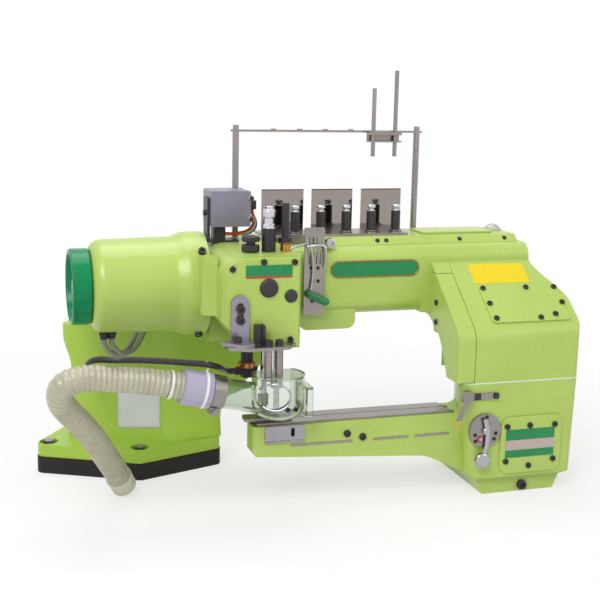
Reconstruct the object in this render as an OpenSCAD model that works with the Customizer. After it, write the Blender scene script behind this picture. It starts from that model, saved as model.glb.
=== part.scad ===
// Flatlock sewing machine on a pedestal base: direct-drive motor and handwheel on the left,
// head with needles and presser foot, C-shaped arm, column with belt drive, cylinder bed,
// thread stand and waste-suction nozzle with its hose.
// X runs along the arm to the right, Y away from the operator, Z up, in millimetres.
// The origin is the centre of the base's bottom face.

/* [Base] */
// Width of the base plate
base_w = 268; // [250:1:300]
// Depth of the base plate
base_d = 195; // [180:1:230]
// Height of the dark plinth under the casting
plinth_h = 24; // [16:1:36]
// Thickness of the casting's foot flange
flange_h = 18; // [12:1:26]
// Height of the pedestal's top above the floor
pedestal_h = 208; // [190:1:216]
// Radius of the hold-down bolt heads
bolt_head_r = 8; // [6:0.5:10]
// Radius of the counterbores round the bolt heads
bolt_counterbore_r = 13; // [11:0.5:15]

/* [Main shaft and motor] */
// Height of the main shaft above the floor
shaft_h = 282; // [276:1:300]
// Radius of the main shaft
shaft_r = 9; // [7:0.5:11]
// Radius of the motor housing
motor_r = 61; // [54:0.5:63]
// Radius of the motor's mounting ring
motor_ring_r = 69; // [65:0.5:70]
// Radius of the handwheel
wheel_r = 50; // [42:0.5:52]
// Width of the handwheel's rim
wheel_w = 25; // [20:0.5:26]
// Depth of the dish in the handwheel's face
wheel_dish = 12; // [6:0.5:16]

/* [Head] */
// Left edge of the head, from the handwheel's face
head_x = 176; // [176:1:180]
// Width of the head
head_w = 101; // [92:1:104]
// Height of the head's flat bottom above the floor
head_bottom = 217; // [217:0.5:222]
// Height of the head's top above the floor
head_top = 336; // [332:0.5:340]
// Front of the head casting ahead of the shaft
head_front = 126; // [122:0.5:130]
// Thickness of the head's front cover
cover_t = 4; // [3:0.5:6]
// Radius of the large rubber plug
plug_big_r = 12; // [9:0.5:14]
// Radius of the small rubber plug
plug_small_r = 8.5; // [6:0.5:9]

/* [Needles and presser] */
// Distance of the stitching line ahead of the shaft
stitch_y = 98; // [97:0.5:100]
// Radius of the needle bar
needle_bar_r = 4.5; // [3.5:0.25:5]
// Number of needles
needle_count = 4; // [2:1:4]
// Spacing of the needles
needle_pitch = 2.2; // [2:0.1:2.4]
// Radius of the presser bar
presser_bar_r = 4; // [3:0.25:4.5]
// Thickness of the presser foot's sole
foot_t = 4; // [3:0.25:5]

/* [Upper arm] */
// Front of the upper arm ahead of the shaft
arm_front = 50; // [46:0.5:52]
// Depth of the upper arm
arm_d = 130; // [126:1:140]
// Height of the upper arm's underside above the floor
arm_bottom = 239; // [236:0.5:246]
// Height of the seam under the top cover
arm_seam = 332; // [330:0.5:336]
// Height of the top cover
top_cover_h = 10; // [8:0.5:14]
// Radius of the arm's rounded shoulder
shoulder_r = 20; // [12:0.5:24]

/* [Column] */
// Left face of the column, from the handwheel's face
column_x = 510; // [506:1:514]
// Width of the column at the back
column_w = 128; // [120:1:134]
// Extra width of the column at the front
column_flare = 34; // [24:1:40]
// Front of the column ahead of the shaft
column_front = 150; // [146:0.5:156]
// Height of the seam between the column cover and the bed
column_seam = 161; // [155:0.5:168]
// Height of the sloping face's lower edge
slope_low = 228; // [220:1:236]
// Wall thickness of the column's covers
column_wall = 6; // [4:0.5:9]
// How far the belt cover stands out to the left of the column
cheek_w = 22; // [18:0.5:26]

/* [Bed] */
// Left end of the cylinder bed, from the handwheel's face
bed_x = 217; // [211:1:221]
// Depth of the cylinder bed
bed_d = 50; // [46:0.5:54]
// Height of the bed casting's top under the strips
bed_top = 113; // [111:0.5:114]
// Thickness of the steel strips on the bed
strip_t = 3; // [2:0.25:3.5]
// Height of the bed's underside at its free end
bed_tip_low = 73; // [68:1:78]
// Height of the bed's underside at the column
bed_root_low = 57; // [52:1:62]
// Radius of the lower shaft
lower_shaft_r = 7; // [5:0.5:8]
// Height of the oil pan
pan_h = 22; // [16:1:26]
// Radius of the feed dial
dial_r = 23.5; // [20:0.5:24]
// Length of the feed lever below its pivot
lever_len = 34; // [28:0.5:38]

/* [Belt drive] */
// Radius of both timing pulleys
pulley_r = 26; // [20:0.5:30]
// Width of the timing belt
belt_w = 15; // [10:0.5:18]
// Thickness of the timing belt
belt_t = 3; // [2:0.25:4]

/* [Thread stand] */
// Height of the thread stand's cross bar above the floor
bar_h = 481; // [460:1:500]
// Radius of the thread stand's posts
post_r = 4.5; // [3.5:0.25:5.5]
// Radius of the spool pins
pin_r = 3; // [2:0.25:4]
// Height of the tall spool pin's tip above the floor
tall_pin_h = 568; // [540:1:580]
// Height of the short spool pin's tip above the floor
short_pin_h = 543; // [520:1:560]
// Radius of the tension knobs
knob_r = 6.5; // [5:0.25:7.5]
// Height of the tension knobs
knob_h = 26; // [20:0.5:30]
// Width of a polished tension plate
tension_plate_w = 61; // [54:0.5:66]
// Height of a polished tension plate
tension_plate_h = 55; // [45:0.5:60]

/* [Suction] */
// Outer radius of the clear suction pipe
pipe_r = 19; // [16:0.5:20]
// Outer radius of the hose cuff
cuff_r = 22.5; // [20:0.5:24]
// Outer radius of the ribbed hose
hose_r = 16.5; // [14:0.5:18]
// Wall thickness of the clear mouldings
clear_wall = 2.5; // [1.5:0.25:3.5]
// Radius of the nozzle's bowl
bowl_r = 34; // [30:0.5:36]

/* [Fits] */
// Radial clearance of shafts and bars in their bores
run_fit = 0.05; // [0.02:0.01:0.1]
// Gap between a piece that moves and its neighbour
free_gap = 0.5; // [0.3:0.1:1]

/* [Hidden] */
$fn = 64;

// Handwheel face and shaft axis, from the base's centre
wheel_x = -90;
shaft_back = -122;
// Corners of the base plate: left, apex, right and the two back corners
base_pts = [[-base_w / 2, -27], [6, -base_d / 2], [base_w / 2, -54],
    [75, base_d / 2 - 4], [-50, base_d / 2]];
base_corner_r = 12;
flange_top = plinth_h + flange_h;
flange_step = 1;
bolt_pts = [[-base_w / 2 + 22, -20], [8, -base_d / 2 + 21],
    [-42, base_d / 2 - 17], [64, base_d / 2 - 21]];
bolt_head_h = 6;
bolt_shank_r = 5;
counterbore_d = 5;
// Plan of the pedestal: left face, apex of the front, right side low and high, back
pedestal_left = -82;
pedestal_lip = 12;
pedestal_apex = [56, -60];
pedestal_right = base_w / 2 + 4;
pedestal_reach = 207;
pedestal_back = base_d / 2 - 34;
pedestal_soft = 18;
foot_spread = 6;
loft_rings = 15;

// Motor and handwheel along the shaft
motor_x = wheel_w + free_gap;
motor_end = head_x - free_gap;
ring_len = 24;
ring_slope = 22;
hub_r = 16;
rim_t = 6;
shaft_start = 4;
shaft_end = 595;

// Head, arm and column outlines
head_right = head_x + head_w;
arm_back = arm_d - arm_front;
arm_start = head_right - 10;
head_chamfer = [29, 35];
head_round = 30;
seat_x = [150, 297];
seat_y = [-30, 100];
boss_x = 158;
boss_z = [254, 329];
boss_front = 80;
bulge_x = [300, 380];
bulge_low = head_bottom + 3;
bulge_r = 12;
throat_r = 35;
throat_depth = 30;
cheek_heel = 114;
cheek_low = 226;
brow_soft = 16;
column_back = 30;
column_waist = 40;
flare_run = 62;
head_soft = 20;
slope_top = arm_seam - shoulder_r - 3;
slope_run = column_front - arm_front;
slope_angle = atan2(slope_top - slope_low, slope_run);
column_right = column_x + column_w;
cheek_x = column_x - cheek_w;
cover_split = column_x + 3;
seam_gap = 0.7;
cheek_top = slope_top - 13;
cheek_back = -arm_front - 13 / tan(slope_angle);
column_wide = column_right + column_flare;
top_z = arm_seam + top_cover_h;
top_cover_x = [334, column_right - 8];

// Needle bar, presser bar and stroke
needle_x = 254;
presser_x = 236;
needle_stroke = 30;
foot_lift = 8;
bar_depth = 80;
presser_depth = 70;
bore_spare = 4;
needle_tip = bed_top + strip_t + 12;
needle_len = 30;
clamp_h = 14;
foot_low = bed_top + strip_t + 0.4;

// Bed, lower shaft and belt
bed_front = stitch_y + bed_d / 2;
bed_right = column_wide - 0.5;
bed_column_x = column_x + 6;
bed_fillet_r = 20;
bed_low = pan_h + 4;
lower_shaft_h = 86;
lower_shaft_x = [300, 600];
pulley_x = 566;
pulley_w = belt_w + 4;
pocket_gap = 4;
pocket_r = pulley_r + belt_t + pocket_gap;
dial_at = [531, 95];
dial_t = 4;
dial_pin_r = 4;
lever_t = 3;
lever_rest = -7;
lever_knob_r = 10.5;
side_plate_at = [555.5, 31];
side_plate_size = [92, 80];
side_plate_r = 14;
looper_x = [232, 286];
looper_low = 92;
looper_slot = [35, 98];
sheet_t = 1.5;

// Thread stand and tension units
stand_x = [234, 502];
stand_y = 52;
bar_t = 3;
stand_cap_h = 6;
pin_x = [432, 465];
pin_low = 448;
pin_wall = 2;
bar_w = 6;
tension_count = 6;
tension_x0 = 270;
tension_pitch = 37;
tension_y = 5;
tension_plate_x = [270, 343, 417];
tension_bed_t = 3;
spindle_r = 2.5;
disc_r = 9;
disc_h = 4;
tension_seat = top_z + tension_bed_t + disc_h;

// Head front: bracket, plate, nozzle, pipe and cuff
bracket_t = 4;
bracket_x = [184, 207];
foot_z = head_bottom + 10;
plate_z = foot_z - bracket_t;
nozzle_c = [246, -134];
nozzle_low = 129;
nozzle_top = 186;
nozzle_cut = -stitch_y - 14;
pillar_x = [228, 242];
pillar_y = -150;
pipe_tilt = 12.5;
pipe_root = [228, -140, 155];
pipe_len = 73;
clamp_w = 16;
cuff_len = 36;
cuff_gap = 1;
hose_wall = 4;
tie_gap = 4;

// Air fitting under the head
fitting_x = 214;
barb_len = 15;
barb_h = 183;
fitting_low = 175;
ring_z = [188, 194];

// Routes of the hoses, cables and wires, from the handwheel's face and the shaft axis
butt_gap = 0.4;
hose_tip = [57, -31, 30];
hose_tip_way = unit([7, 9, -14]);
collar_len = 23;
hose_start = pipe_root + (pipe_len + cuff_gap + cuff_len) * [-cos(pipe_tilt), 0, sin(pipe_tilt)];
hose_route = [hose_start, hose_start + 25 * [-cos(pipe_tilt), 0, sin(pipe_tilt)],
    [71, -141, 189], [36, -143, 194], [6, -145, 197], [-14, -145, 194], [-25, -140, 184], [-25, -129, 166],
    [-14, -114, 147], [2, -97, 126], [20, -78, 99], [37, -57, 68], [50, -40, 44], hose_tip];
hose_end_route = [for (s = [0, 0.5, 1]) hose_tip + (butt_gap + s * collar_len) * hose_tip_way];
cable_top = shaft_h - motor_r - 0.7;
cable_route = [[44, 0, cable_top], [44, 1, cable_top - 15], [52, 6, 192], [63, 15, 185], [78, 30, 186.5],
    [89, 45, 195], [97, 58, 205], [104, 70, 212], [112, 84, 217], [119, 94, 216],
    [120, 97, pedestal_h + 5], [120, 97, pedestal_h + 0.3]];
cable_shift = [10.5, 2, 0];
cable_r = 3.5;
gland_r = 6;
gland_h = 10;
air_start = [fitting_x - barb_len - butt_gap, -stitch_y, barb_h];
air_route = [air_start, air_start - [5, 0, 0], air_start + [-11, -1.5, 1], [180, -110, 189], [168, -129,
    198],
    [150, -140, 205], [110, -142, 211], [70, -145, 216], [40, -146, 218], [14, -124, 213], [8, -90, 190],
    [12, -30, 165], [26, 40, 145], [40, 84, 134], [47.6, 105.2, 130.2]];
air_r = 4;
wire_route = [[247, 8, 378.6], [247.4, 8, 373.2], [249.2, 8, 366], [247.5, 8, 357],
    [240, 8, 350], [227, 8, 347], [209.4, 8, 346]];
wire_r = 2;
wire_step = [0, 4.3, 0];
guide_wire = [[272, -86, 337.6], [288, -77, 341], [304, -66, 340], [311, -62, 326],
    [313, -60, 300], [310.5, -60.5, 278]];
loop_wire = [[305, -58, 336], [318, -62, 338], [328, -62, 336], [330, -62, 322], [329, -58, 308]];
guide_wire_r = 1.3;

lime = [0.70, 0.82, 0.36];
dark = [0.2, 0.19, 0.18];
black = [0.13, 0.12, 0.13];
steel = [0.66, 0.65, 0.66];
chrome = [0.82, 0.82, 0.84];
green = [0.05, 0.55, 0.33];
clear = [0.8, 0.86, 0.82, 0.6];

function unit(v) = v / norm(v);
function clamp01(t) = min(1, max(0, t));
function smooth(t) = t * t * (3 - 2 * t);
function lerp(a, b, t) = a + (b - a) * t;

// Points of an arc round a centre
function arc(c, r, from, to, n = 8) =
    [for (i = [0:n]) c + r * [cos(lerp(from, to, i / n)), sin(lerp(from, to, i / n))]];

// A corner cut back by c and rounded by a quadratic curve
function soft_corner(a, p, b, c, n = 5) =
    let (s = p + c * unit(a - p), e = p + c * unit(b - p))
    [for (i = [0:n]) let (t = i / n) (1 - t) * (1 - t) * s + 2 * t * (1 - t) * p + t * t * e];

// A ring of corners, each rounded by its own amount
function soft_ring(pts, c) = let (m = len(pts))
    [for (i = [0:m - 1]) each soft_corner(pts[(i + m - 1) % m], pts[i], pts[(i + 1) % m], is_num(c)
        ? c : c[i])];

function at_z(pts, z) = [for (p = pts) [p[0], p[1], z]];

// A smooth curve through the route's points
function spline(p, k) = let (m = len(p))
    concat([for (i = [0:m - 2], s = [0:k - 1])
        let (a = p[max(i - 1, 0)], b = p[i], c = p[i + 1], d = p[min(i + 2, m - 1)], t = s / k)
        0.5 * (2 * b + (c - a) * t + (2 * a - 5 * b + 4 * c - d) * t * t
            + (3 * b - a - 3 * c + d) * t * t * t)],
    [p[m - 1]]);

// Moves pieces measured from the handwheel's face and the shaft axis onto the base
module machine() {
    translate([wheel_x, shaft_back, 0]) children();
}

// A solid through a stack of rings with the same number of points
module loft(rings) {
    n = len(rings[0]);
    m = len(rings);
    bottom = [[for (i = [0:n - 1]) i]];
    top = [[for (i = [n - 1:-1:0]) (m - 1) * n + i]];
    sides = [for (j = [0:m - 2], i = [0:n - 1])
        let (a = j * n + i, b = j * n + (i + 1) % n)
        each [[a, a + n, b + n], [a, b + n, b]]];
    polyhedron(points = [for (r = rings) each r], faces = concat(bottom, top, sides));
}

// A round tube along a route; the hint is a direction that the route never runs along
module tube_along(route, r, sides = 10, steps = 2, hint = [0, 1, 0.3]) {
    path = spline(route, steps);
    last = len(path) - 1;
    loft([for (i = [0:last])
        let (d = unit(path[min(i + 1, last)] - path[max(i - 1, 0)]),
            u = unit(cross(d, hint)), v = cross(d, u))
        [for (k = [0:sides - 1]) path[i] + r * (u * cos(360 * k / sides) + v * sin(360 * k / sides))]]);
}

// A rounded rectangle with its lower left corner at the origin
module round_rect(w, h, r) {
    translate([r, 0]) square([w - 2 * r, h]);
    translate([0, r]) square([w, h - 2 * r]);
    for (x = [r, w - r], y = [r, h - r]) translate([x, y]) circle(r);
}

// Extrudes a front outline (X, Z) from y towards the operator
module front(y, t) {
    translate([0, y, 0]) rotate([90, 0, 0]) linear_extrude(t) children();
}

// Extrudes a side outline (Y, Z) along X
module side(x, w) {
    translate([x, 0, 0]) rotate([90, 0, 90]) linear_extrude(w) children();
}

// A bar along X
module bar_x(x, y, z, r, l) {
    translate([x, y, z]) rotate([0, 90, 0]) cylinder(r = r, h = l);
}

// A bar towards the operator
module bar_y(x, y, z, r, l) {
    translate([x, y, z]) rotate([90, 0, 0]) cylinder(r = r, h = l);
}

// A screw head with a hexagon socket, pointing up
module socket_head(r, h) {
    difference() {
        cylinder(r = r, h = h);
        translate([0, 0, h * 0.4]) cylinder(r = r * 0.55, h = h, $fn = 6);
    }
}

module base_outline() {
    offset(r = base_corner_r) offset(delta = -base_corner_r) polygon(base_pts);
}

module base_plinth() {
    color(dark) linear_extrude(plinth_h) difference() {
        base_outline();
        for (p = bolt_pts) translate(p) circle(bolt_shank_r);
    }
}

function pedestal_ring(t) =
    let (k = smooth(clamp01((t - 0.17) / 0.55)), f = foot_spread * (1 - smooth(clamp01(t / 0.2))),
        h = pedestal_lip * smooth(clamp01((t - 0.6) / 0.3)))
    at_z(soft_ring([[pedestal_left - f - h, 2 - f - h / 2], [pedestal_apex[0], pedestal_apex[1] - f],
        [lerp(pedestal_right, pedestal_reach, k), pedestal_apex[1] + 16 - f],
        [lerp(pedestal_right - 56, pedestal_reach - 97, k), pedestal_back + f],
        [pedestal_left + 36 - f, pedestal_back + f]], pedestal_soft),
    lerp(flange_top - 1, pedestal_h, t));

module pedestal() {
    color(lime) difference() {
        union() {
            translate([0, 0, plinth_h]) linear_extrude(flange_h) offset(delta = -flange_step)
                base_outline();
            loft([for (i = [0:loft_rings - 1]) pedestal_ring(i / (loft_rings - 1))]);
        }
        for (p = bolt_pts) translate([p[0], p[1], 0]) {
            translate([0, 0, plinth_h - 1]) cylinder(r = bolt_shank_r, h = flange_h + 2);
            translate([0, 0, flange_top - counterbore_d]) cylinder(r = bolt_counterbore_r, h = 20);
        }
    }
}

module base_bolts() {
    color(steel) for (p = bolt_pts) translate([p[0], p[1], flange_top - counterbore_d]) {
        cylinder(r = bolt_head_r + 2, h = 1.5);
        translate([0, 0, 1.5]) cylinder(r = bolt_head_r, h = bolt_head_h, $fn = 6);
        translate([0, 0, -flange_h - plinth_h + counterbore_d + 2]) cylinder(r = bolt_shank_r,
            h = flange_h + plinth_h - counterbore_d - 2);
    }
}

module on_shaft() {
    machine() translate([0, 0, shaft_h]) rotate([0, 90, 0]) children();
}

// Outline of the motor housing: rounded end, straight barrel, swelling to the mounting ring
module motor_profile() {
    end_r = 16;
    ring_start = motor_end - ring_len;
    polygon(concat([[shaft_r + run_fit, motor_x], [motor_r - end_r, motor_x]],
        arc([motor_r - end_r, motor_x + end_r], end_r, -70, 0, 7),
        [for (i = [0:8]) [lerp(motor_r + 2, motor_ring_r, smooth(i / 8)),
            ring_start - ring_slope * (1 - i / 8)]],
        [[motor_ring_r, motor_end], [shaft_r + run_fit, motor_end]]));
}

module motor_housing() {
    color(lime) on_shaft() rotate_extrude() motor_profile();
}

module motor_cables() {
    color([0.55, 0.54, 0.5]) machine() for (s = [0, 1])
        tube_along([for (p = cable_route) p + s * cable_shift], cable_r, sides = 8, hint = [1, -1, 0.2]);
    color(black) machine() for (s = [0, 1]) translate(cable_route[0] + s * cable_shift - [0, 0, gland_h])
        difference() {
            cylinder(r = gland_r, h = gland_h);
            translate([0, 0, -1]) cylinder(r = cable_r + free_gap, h = gland_h + 2);
        }
}

module handwheel() {
    color(green) on_shaft() rotate_extrude() polygon([
        [shaft_r + run_fit, 7], [hub_r, 7], [hub_r, wheel_dish], [wheel_r - rim_t - 3, wheel_dish],
        [wheel_r - rim_t, 1], [wheel_r - rim_t + 1, 0], [wheel_r - 1.5, 0], [wheel_r, 1.5],
        [wheel_r, wheel_w - 1.5], [wheel_r - 1.5, wheel_w], [shaft_r + run_fit, wheel_w]]);
}

module main_shaft() {
    color(steel) on_shaft() translate([0, 0, shaft_start]) cylinder(r = shaft_r,
        h = shaft_end - shaft_start);
}

// A toothed pulley with two flanges, bored for its shaft
module pulley(bore) {
    difference() {
        union() {
            translate([0, 0, -pulley_w / 2]) cylinder(r = pulley_r - 0.4, h = pulley_w);
            for (z = [-pulley_w / 2, pulley_w / 2 - 1.5]) translate([0, 0, z]) cylinder(r = pulley_r + 2,
                h = 1.5);
        }
        translate([0, 0, -pulley_w]) cylinder(r = bore, h = 2 * pulley_w);
    }
}

module drive_pulley() {
    color(steel) on_shaft() translate([0, 0, pulley_x]) pulley(shaft_r + run_fit);
}

module lower_shaft() {
    color(steel) machine() bar_x(lower_shaft_x[0], -stitch_y, lower_shaft_h, lower_shaft_r,
        lower_shaft_x[1] - lower_shaft_x[0]);
}

module driven_pulley() {
    color(steel) machine() translate([pulley_x, -stitch_y, lower_shaft_h]) rotate([0, 90, 0])
        pulley(lower_shaft_r + run_fit);
}

// The outline round both pulleys at radius r
module belt_outline(r) {
    hull() {
        translate([0, shaft_h]) circle(r);
        translate([-stitch_y, lower_shaft_h]) circle(r);
    }
}

module timing_belt() {
    color(black) machine() side(pulley_x - belt_w / 2, belt_w) difference() {
        belt_outline(pulley_r + belt_t);
        belt_outline(pulley_r);
    }
}

module belt_pocket() {
    side(pulley_x - pulley_w / 2 - pocket_gap, pulley_w + 2 * pocket_gap) belt_outline(pocket_r);
}

module head_outline() {
    polygon(concat([[head_x, head_bottom + head_chamfer[1]], [head_x + head_chamfer[0], head_bottom],
        [head_right, head_bottom], [head_right, head_top]],
        arc([head_x + head_round, head_top - head_round], head_round, 90, 180)));
}

// Plan of the casting behind the column cover
module column_back_plan() {
    polygon([[column_x, -arm_front], [column_right, -arm_front], [column_right, column_back],
        [column_x + column_waist, column_back]]);
}

// Arm, column back and the round corner between them
module arm_body() {
    side(arm_start, column_right - arm_start) translate([-arm_front, arm_bottom])
        round_rect(arm_d, arm_seam - arm_bottom, shoulder_r);
    translate([0, 0, column_seam]) linear_extrude(arm_bottom + shoulder_r - column_seam) column_back_plan();
    front(-arm_front + throat_depth, throat_depth) polygon(concat(
        [[column_x + 6, arm_bottom + shoulder_r]], arc([column_x - throat_r, arm_bottom - throat_r],
            throat_r, 0, 90),
        [[column_x - throat_r, arm_bottom + shoulder_r]]));
    front(40, 86) translate([bulge_x[0], bulge_low])
        round_rect(bulge_x[1] - bulge_x[0], arm_bottom - bulge_low + 2 * bulge_r, bulge_r);
}

// Plan of the head with its round front corners and the boss against the motor
module head_plan() {
    polygon(concat([[head_right, arm_back], [head_x, arm_back]],
        soft_corner([head_x, arm_back], [head_x, -head_front], [head_right, -head_front], head_soft),
        soft_corner([head_x, -head_front], [head_right, -head_front], [head_right, arm_back], 5)));
}

module motor_boss() {
    translate([0, 0, boss_z[0]]) linear_extrude(boss_z[1] - boss_z[0])
        polygon(concat([[head_x + 1, -62]],
            [[boss_x, -62]], soft_corner([boss_x, -62], [boss_x, -boss_front], [head_x, -boss_front - 8],
                8),
            [[head_x + 1, -boss_front - 8]]));
}

module arm_casting() {
    color(lime) machine() difference() {
        union() {
            intersection() {
                front(arm_back, head_front + arm_back) head_outline();
                linear_extrude(head_top) head_plan();
            }
            motor_boss();
            arm_body();
            side(cheek_x, cover_split - cheek_x) polygon([[-arm_front + 1, cheek_top], [cheek_back,
                cheek_top],
                [-arm_front, slope_top], [-arm_front + 1, slope_top]]);
            translate([seat_x[0] + 30, seat_y[0], pedestal_h])
                cube([seat_x[1] - seat_x[0] - 30, seat_y[1] - seat_y[0], head_bottom + 40 - pedestal_h]);
        }
        bar_x(0, 0, shaft_h, motor_ring_r + free_gap, motor_end + free_gap);
        bar_x(head_x - 10, 0, shaft_h, shaft_r + run_fit, shaft_end + 2 - head_x + 10);
        translate([needle_x, -stitch_y, head_bottom - 1])
            cylinder(r = needle_bar_r + run_fit, h = bar_depth + bore_spare);
        translate([presser_x, -stitch_y, head_bottom - 1])
            cylinder(r = presser_bar_r + run_fit, h = presser_depth + foot_lift + bore_spare);
        belt_pocket();
    }
}

module head_cover() {
    rim = 4;
    color(lime) machine() intersection() {
        front(-head_front, cover_t) head_outline();
        translate([head_x + 2, -head_front - cover_t - 1, head_bottom + 2])
            cube([head_w - 2 - rim, cover_t + 2, head_top - head_bottom - 4]);
    }
}

// Places children on the sloping face; x along the face, y up the slope, z outwards
module on_slope() {
    translate([column_x, -column_front, slope_low]) rotate([slope_angle, 0, 0]) children();
}

// Screw rows: head cover (X, Z), bed front (X, Z), side plate (x, y) and access plate (x, y)
cover_screws = [[186, 321], [226, 329], [266, 328], [262, 229]];
bed_screws = [[345, 96], [367, 90]];
side_screws = [[564, 98], [598, 98], [636, 97], [564, 49], [599, 41], [636, 48]];
cheek_screws = [[-74, 257], [-75, 230]];
access_screws = [[37, 76], [102, 75], [145, 74], [38, 49], [147, 46], [39, 23], [105, 21], [129, 26]];
access_at = [32, 16];
access_size = [119, 65];
access_t = 2.5;
side_plate_t = 3;
screw_r = 4;
screw_h = 2;
motor_screws = [45, 154];
ring_screw_x = 165;

module panel_screws() {
    color(black) machine() {
        for (p = cover_screws) translate([p[0], -head_front - cover_t, p[1]]) rotate([90, 0, 0])
            socket_head(screw_r, screw_h);
        for (p = bed_screws) translate([p[0], -bed_front, p[1]]) rotate([90, 0, 0])
            socket_head(screw_r + 1, screw_h);
        for (p = side_screws) translate([p[0], -column_front - side_plate_t, p[1]])
            rotate([90, 0, 0]) socket_head(screw_r, screw_h);
        for (p = cheek_screws) translate([cheek_x, p[0], p[1]])
            rotate([0, -90, 0]) socket_head(screw_r, screw_h);
        on_slope() for (p = access_screws) translate([p[0], p[1], access_t]) socket_head(screw_r, screw_h);
        for (a = motor_screws) translate([ring_screw_x, 0, shaft_h]) rotate([a, 0, 0])
            translate([0, 0, motor_ring_r]) socket_head(screw_r + 1, screw_h + 3);
        translate([drain_at[0], pan_y[0], drain_at[1]]) rotate([90, 0, 0]) socket_head(screw_r + 3,
            pan_lip);
    }
}

plug_big_at = [233, 296];
plug_small_at = [262, 285];
plug_h = 3;

module head_plugs() {
    color(black) machine() translate([0, -head_front - cover_t, 0]) {
        for (p = [[plug_big_at, plug_big_r], [plug_small_at, plug_small_r]])
            translate([p[0][0], 0, p[0][1]]) rotate([90, 0, 0]) rotate_extrude()
                polygon([[0, 0], [p[1], 0], [p[1], 1], [p[1] * 0.8, plug_h - 0.6], [p[1] * 0.4, plug_h],
                    [0, plug_h]]);
    }
}

badge_t = 1;
head_badge = [[203, 309], [60, 16]];
arm_badge = [[341, 291], [129, 23]];
data_badge = [[563, 54], [73, 39]];

module badge_plates() {
    color(green) machine() {
        front(-head_front - cover_t, badge_t) translate(head_badge[0]) square(head_badge[1]);
        front(-arm_front, badge_t) translate(arm_badge[0]) round_rect(arm_badge[1][0], arm_badge[1][1],
            arm_badge[1][1] / 2 - 0.01);
        front(-column_front - side_plate_t, badge_t) translate(data_badge[0]) square(data_badge[1]);
    }
}

module needle_bar() {
    bar_low = needle_tip + needle_len;
    bar_high = head_bottom + bar_depth;
    color(chrome) machine() translate([needle_x, -stitch_y, 0]) difference() {
        union() {
            translate([0, 0, bar_low + clamp_h]) cylinder(r = needle_bar_r,
                h = bar_high - bar_low - clamp_h);
            translate([-7, -5, bar_low]) cube([14, 10, clamp_h]);
        }
        for (i = [0:needle_count - 1])
            translate([(i - (needle_count - 1) / 2) * needle_pitch, 0, bar_low - 1])
                cylinder(r = 0.8 + run_fit, h = clamp_h - 3);
    }
}

module needles() {
    color(steel) machine() for (i = [0:needle_count - 1])
        translate([needle_x + (i - (needle_count - 1) / 2) * needle_pitch, -stitch_y, needle_tip]) {
            cylinder(r1 = 0.2, r2 = 0.8, h = 4);
            translate([0, 0, 4]) cylinder(r = 0.8, h = needle_len - 4 + clamp_h - 5);
        }
}

foot_size = [64, 24];
foot_toe = 26;

module presser_bar() {
    color(chrome) machine() translate([presser_x, -stitch_y, foot_low + foot_t + 16])
        cylinder(r = presser_bar_r, h = head_bottom + presser_depth - foot_low - foot_t - 16);
}

module presser_foot() {
    color(steel) machine() difference() {
        union() {
            translate([presser_x - foot_toe, -stitch_y - foot_size[1] / 2, foot_low]) linear_extrude(foot_t)
                round_rect(foot_size[0], foot_size[1], 5);
            translate([presser_x - 6, -stitch_y - 6, foot_low + foot_t - 0.5]) cube([9, 12, 17]);
            translate([presser_x, -stitch_y, foot_low + foot_t + 16]) cylinder(r = presser_bar_r + 3,
                h = 14);
        }
        translate([presser_x, -stitch_y, foot_low + foot_t + 16]) cylinder(r = presser_bar_r + run_fit,
            h = 20);
        translate([needle_x - 8, -stitch_y - 6, foot_low - 1]) cube([16, 12, foot_t + 2]);
    }
}

knob_y = -90;
knob_x = 219;

module pressure_knob() {
    color(black) machine() translate([knob_x, knob_y, head_top + free_gap]) difference() {
        rotate_extrude() polygon([[0, 0], [10, 0], [11.5, 1], [11.5, 8], [10.5, 9], [6, 9], [6, 13],
            [10.5, 13], [11.5, 14], [11.5, 19], [10.5, 20], [0, 20]]);
        translate([0, 0, -1]) cylinder(r = 3 + run_fit, h = 18);
    }
}

regulator_x = 243;
regulator_r = 9;

module pressure_regulator() {
    color(black) machine() translate([knob_x, knob_y, head_top]) cylinder(r = 3, h = 15);
    color(black) machine() translate([regulator_x, knob_y, head_top]) rotate_extrude()
        polygon([[0, 0], [regulator_r, 0], [regulator_r, 31], [7.5, 31], [7.5, 35], [6, 36], [6, 43],
            [8, 45], [8.5, 52], [7, 54], [0, 54]]);
}

guide_x = 265;

module lift_guide() {
    color(black) machine() translate([guide_x, knob_y, head_top]) {
        rotate_extrude() polygon([[0, 0], [6.5, 0], [6.5, 9], [5, 10], [5, 12], [0, 12]]);
        translate([0, 0, 12]) cylinder(r = 9, h = 6, $fn = 8);
        translate([0, 0, 18]) cylinder(r = 4.8, h = 44);
    }
}

module top_cover() {
    inset = 10;
    color(lime) machine() side(top_cover_x[0], top_cover_x[1] - top_cover_x[0])
        polygon([[-arm_front + shoulder_r, arm_seam], [-arm_front + shoulder_r + inset, top_z],
            [arm_back - shoulder_r - 2, top_z], [arm_back - shoulder_r, top_z - 2],
                [arm_back - shoulder_r, arm_seam]]);
}

lid_x = [492, 602];
lid_h = 3;

module filler_lid() {
    color(lime) machine() difference() {
        translate([lid_x[0], -8, top_z]) linear_extrude(lid_h) round_rect(lid_x[1] - lid_x[0], 50, 8);
        translate([lid_x[0] + 20, -3, top_z + lid_h - 1.5]) cube([50, 4, 3]);
    }
}

module oil_sight() {
    color(clear) machine() translate([617, 25, top_z]) rotate_extrude()
        polygon(concat([[0, 0], [13, 0], [13, 2]], arc([0, -4], 13.4, 28, 88, 6), [[0, 9.4]]));
}

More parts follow.
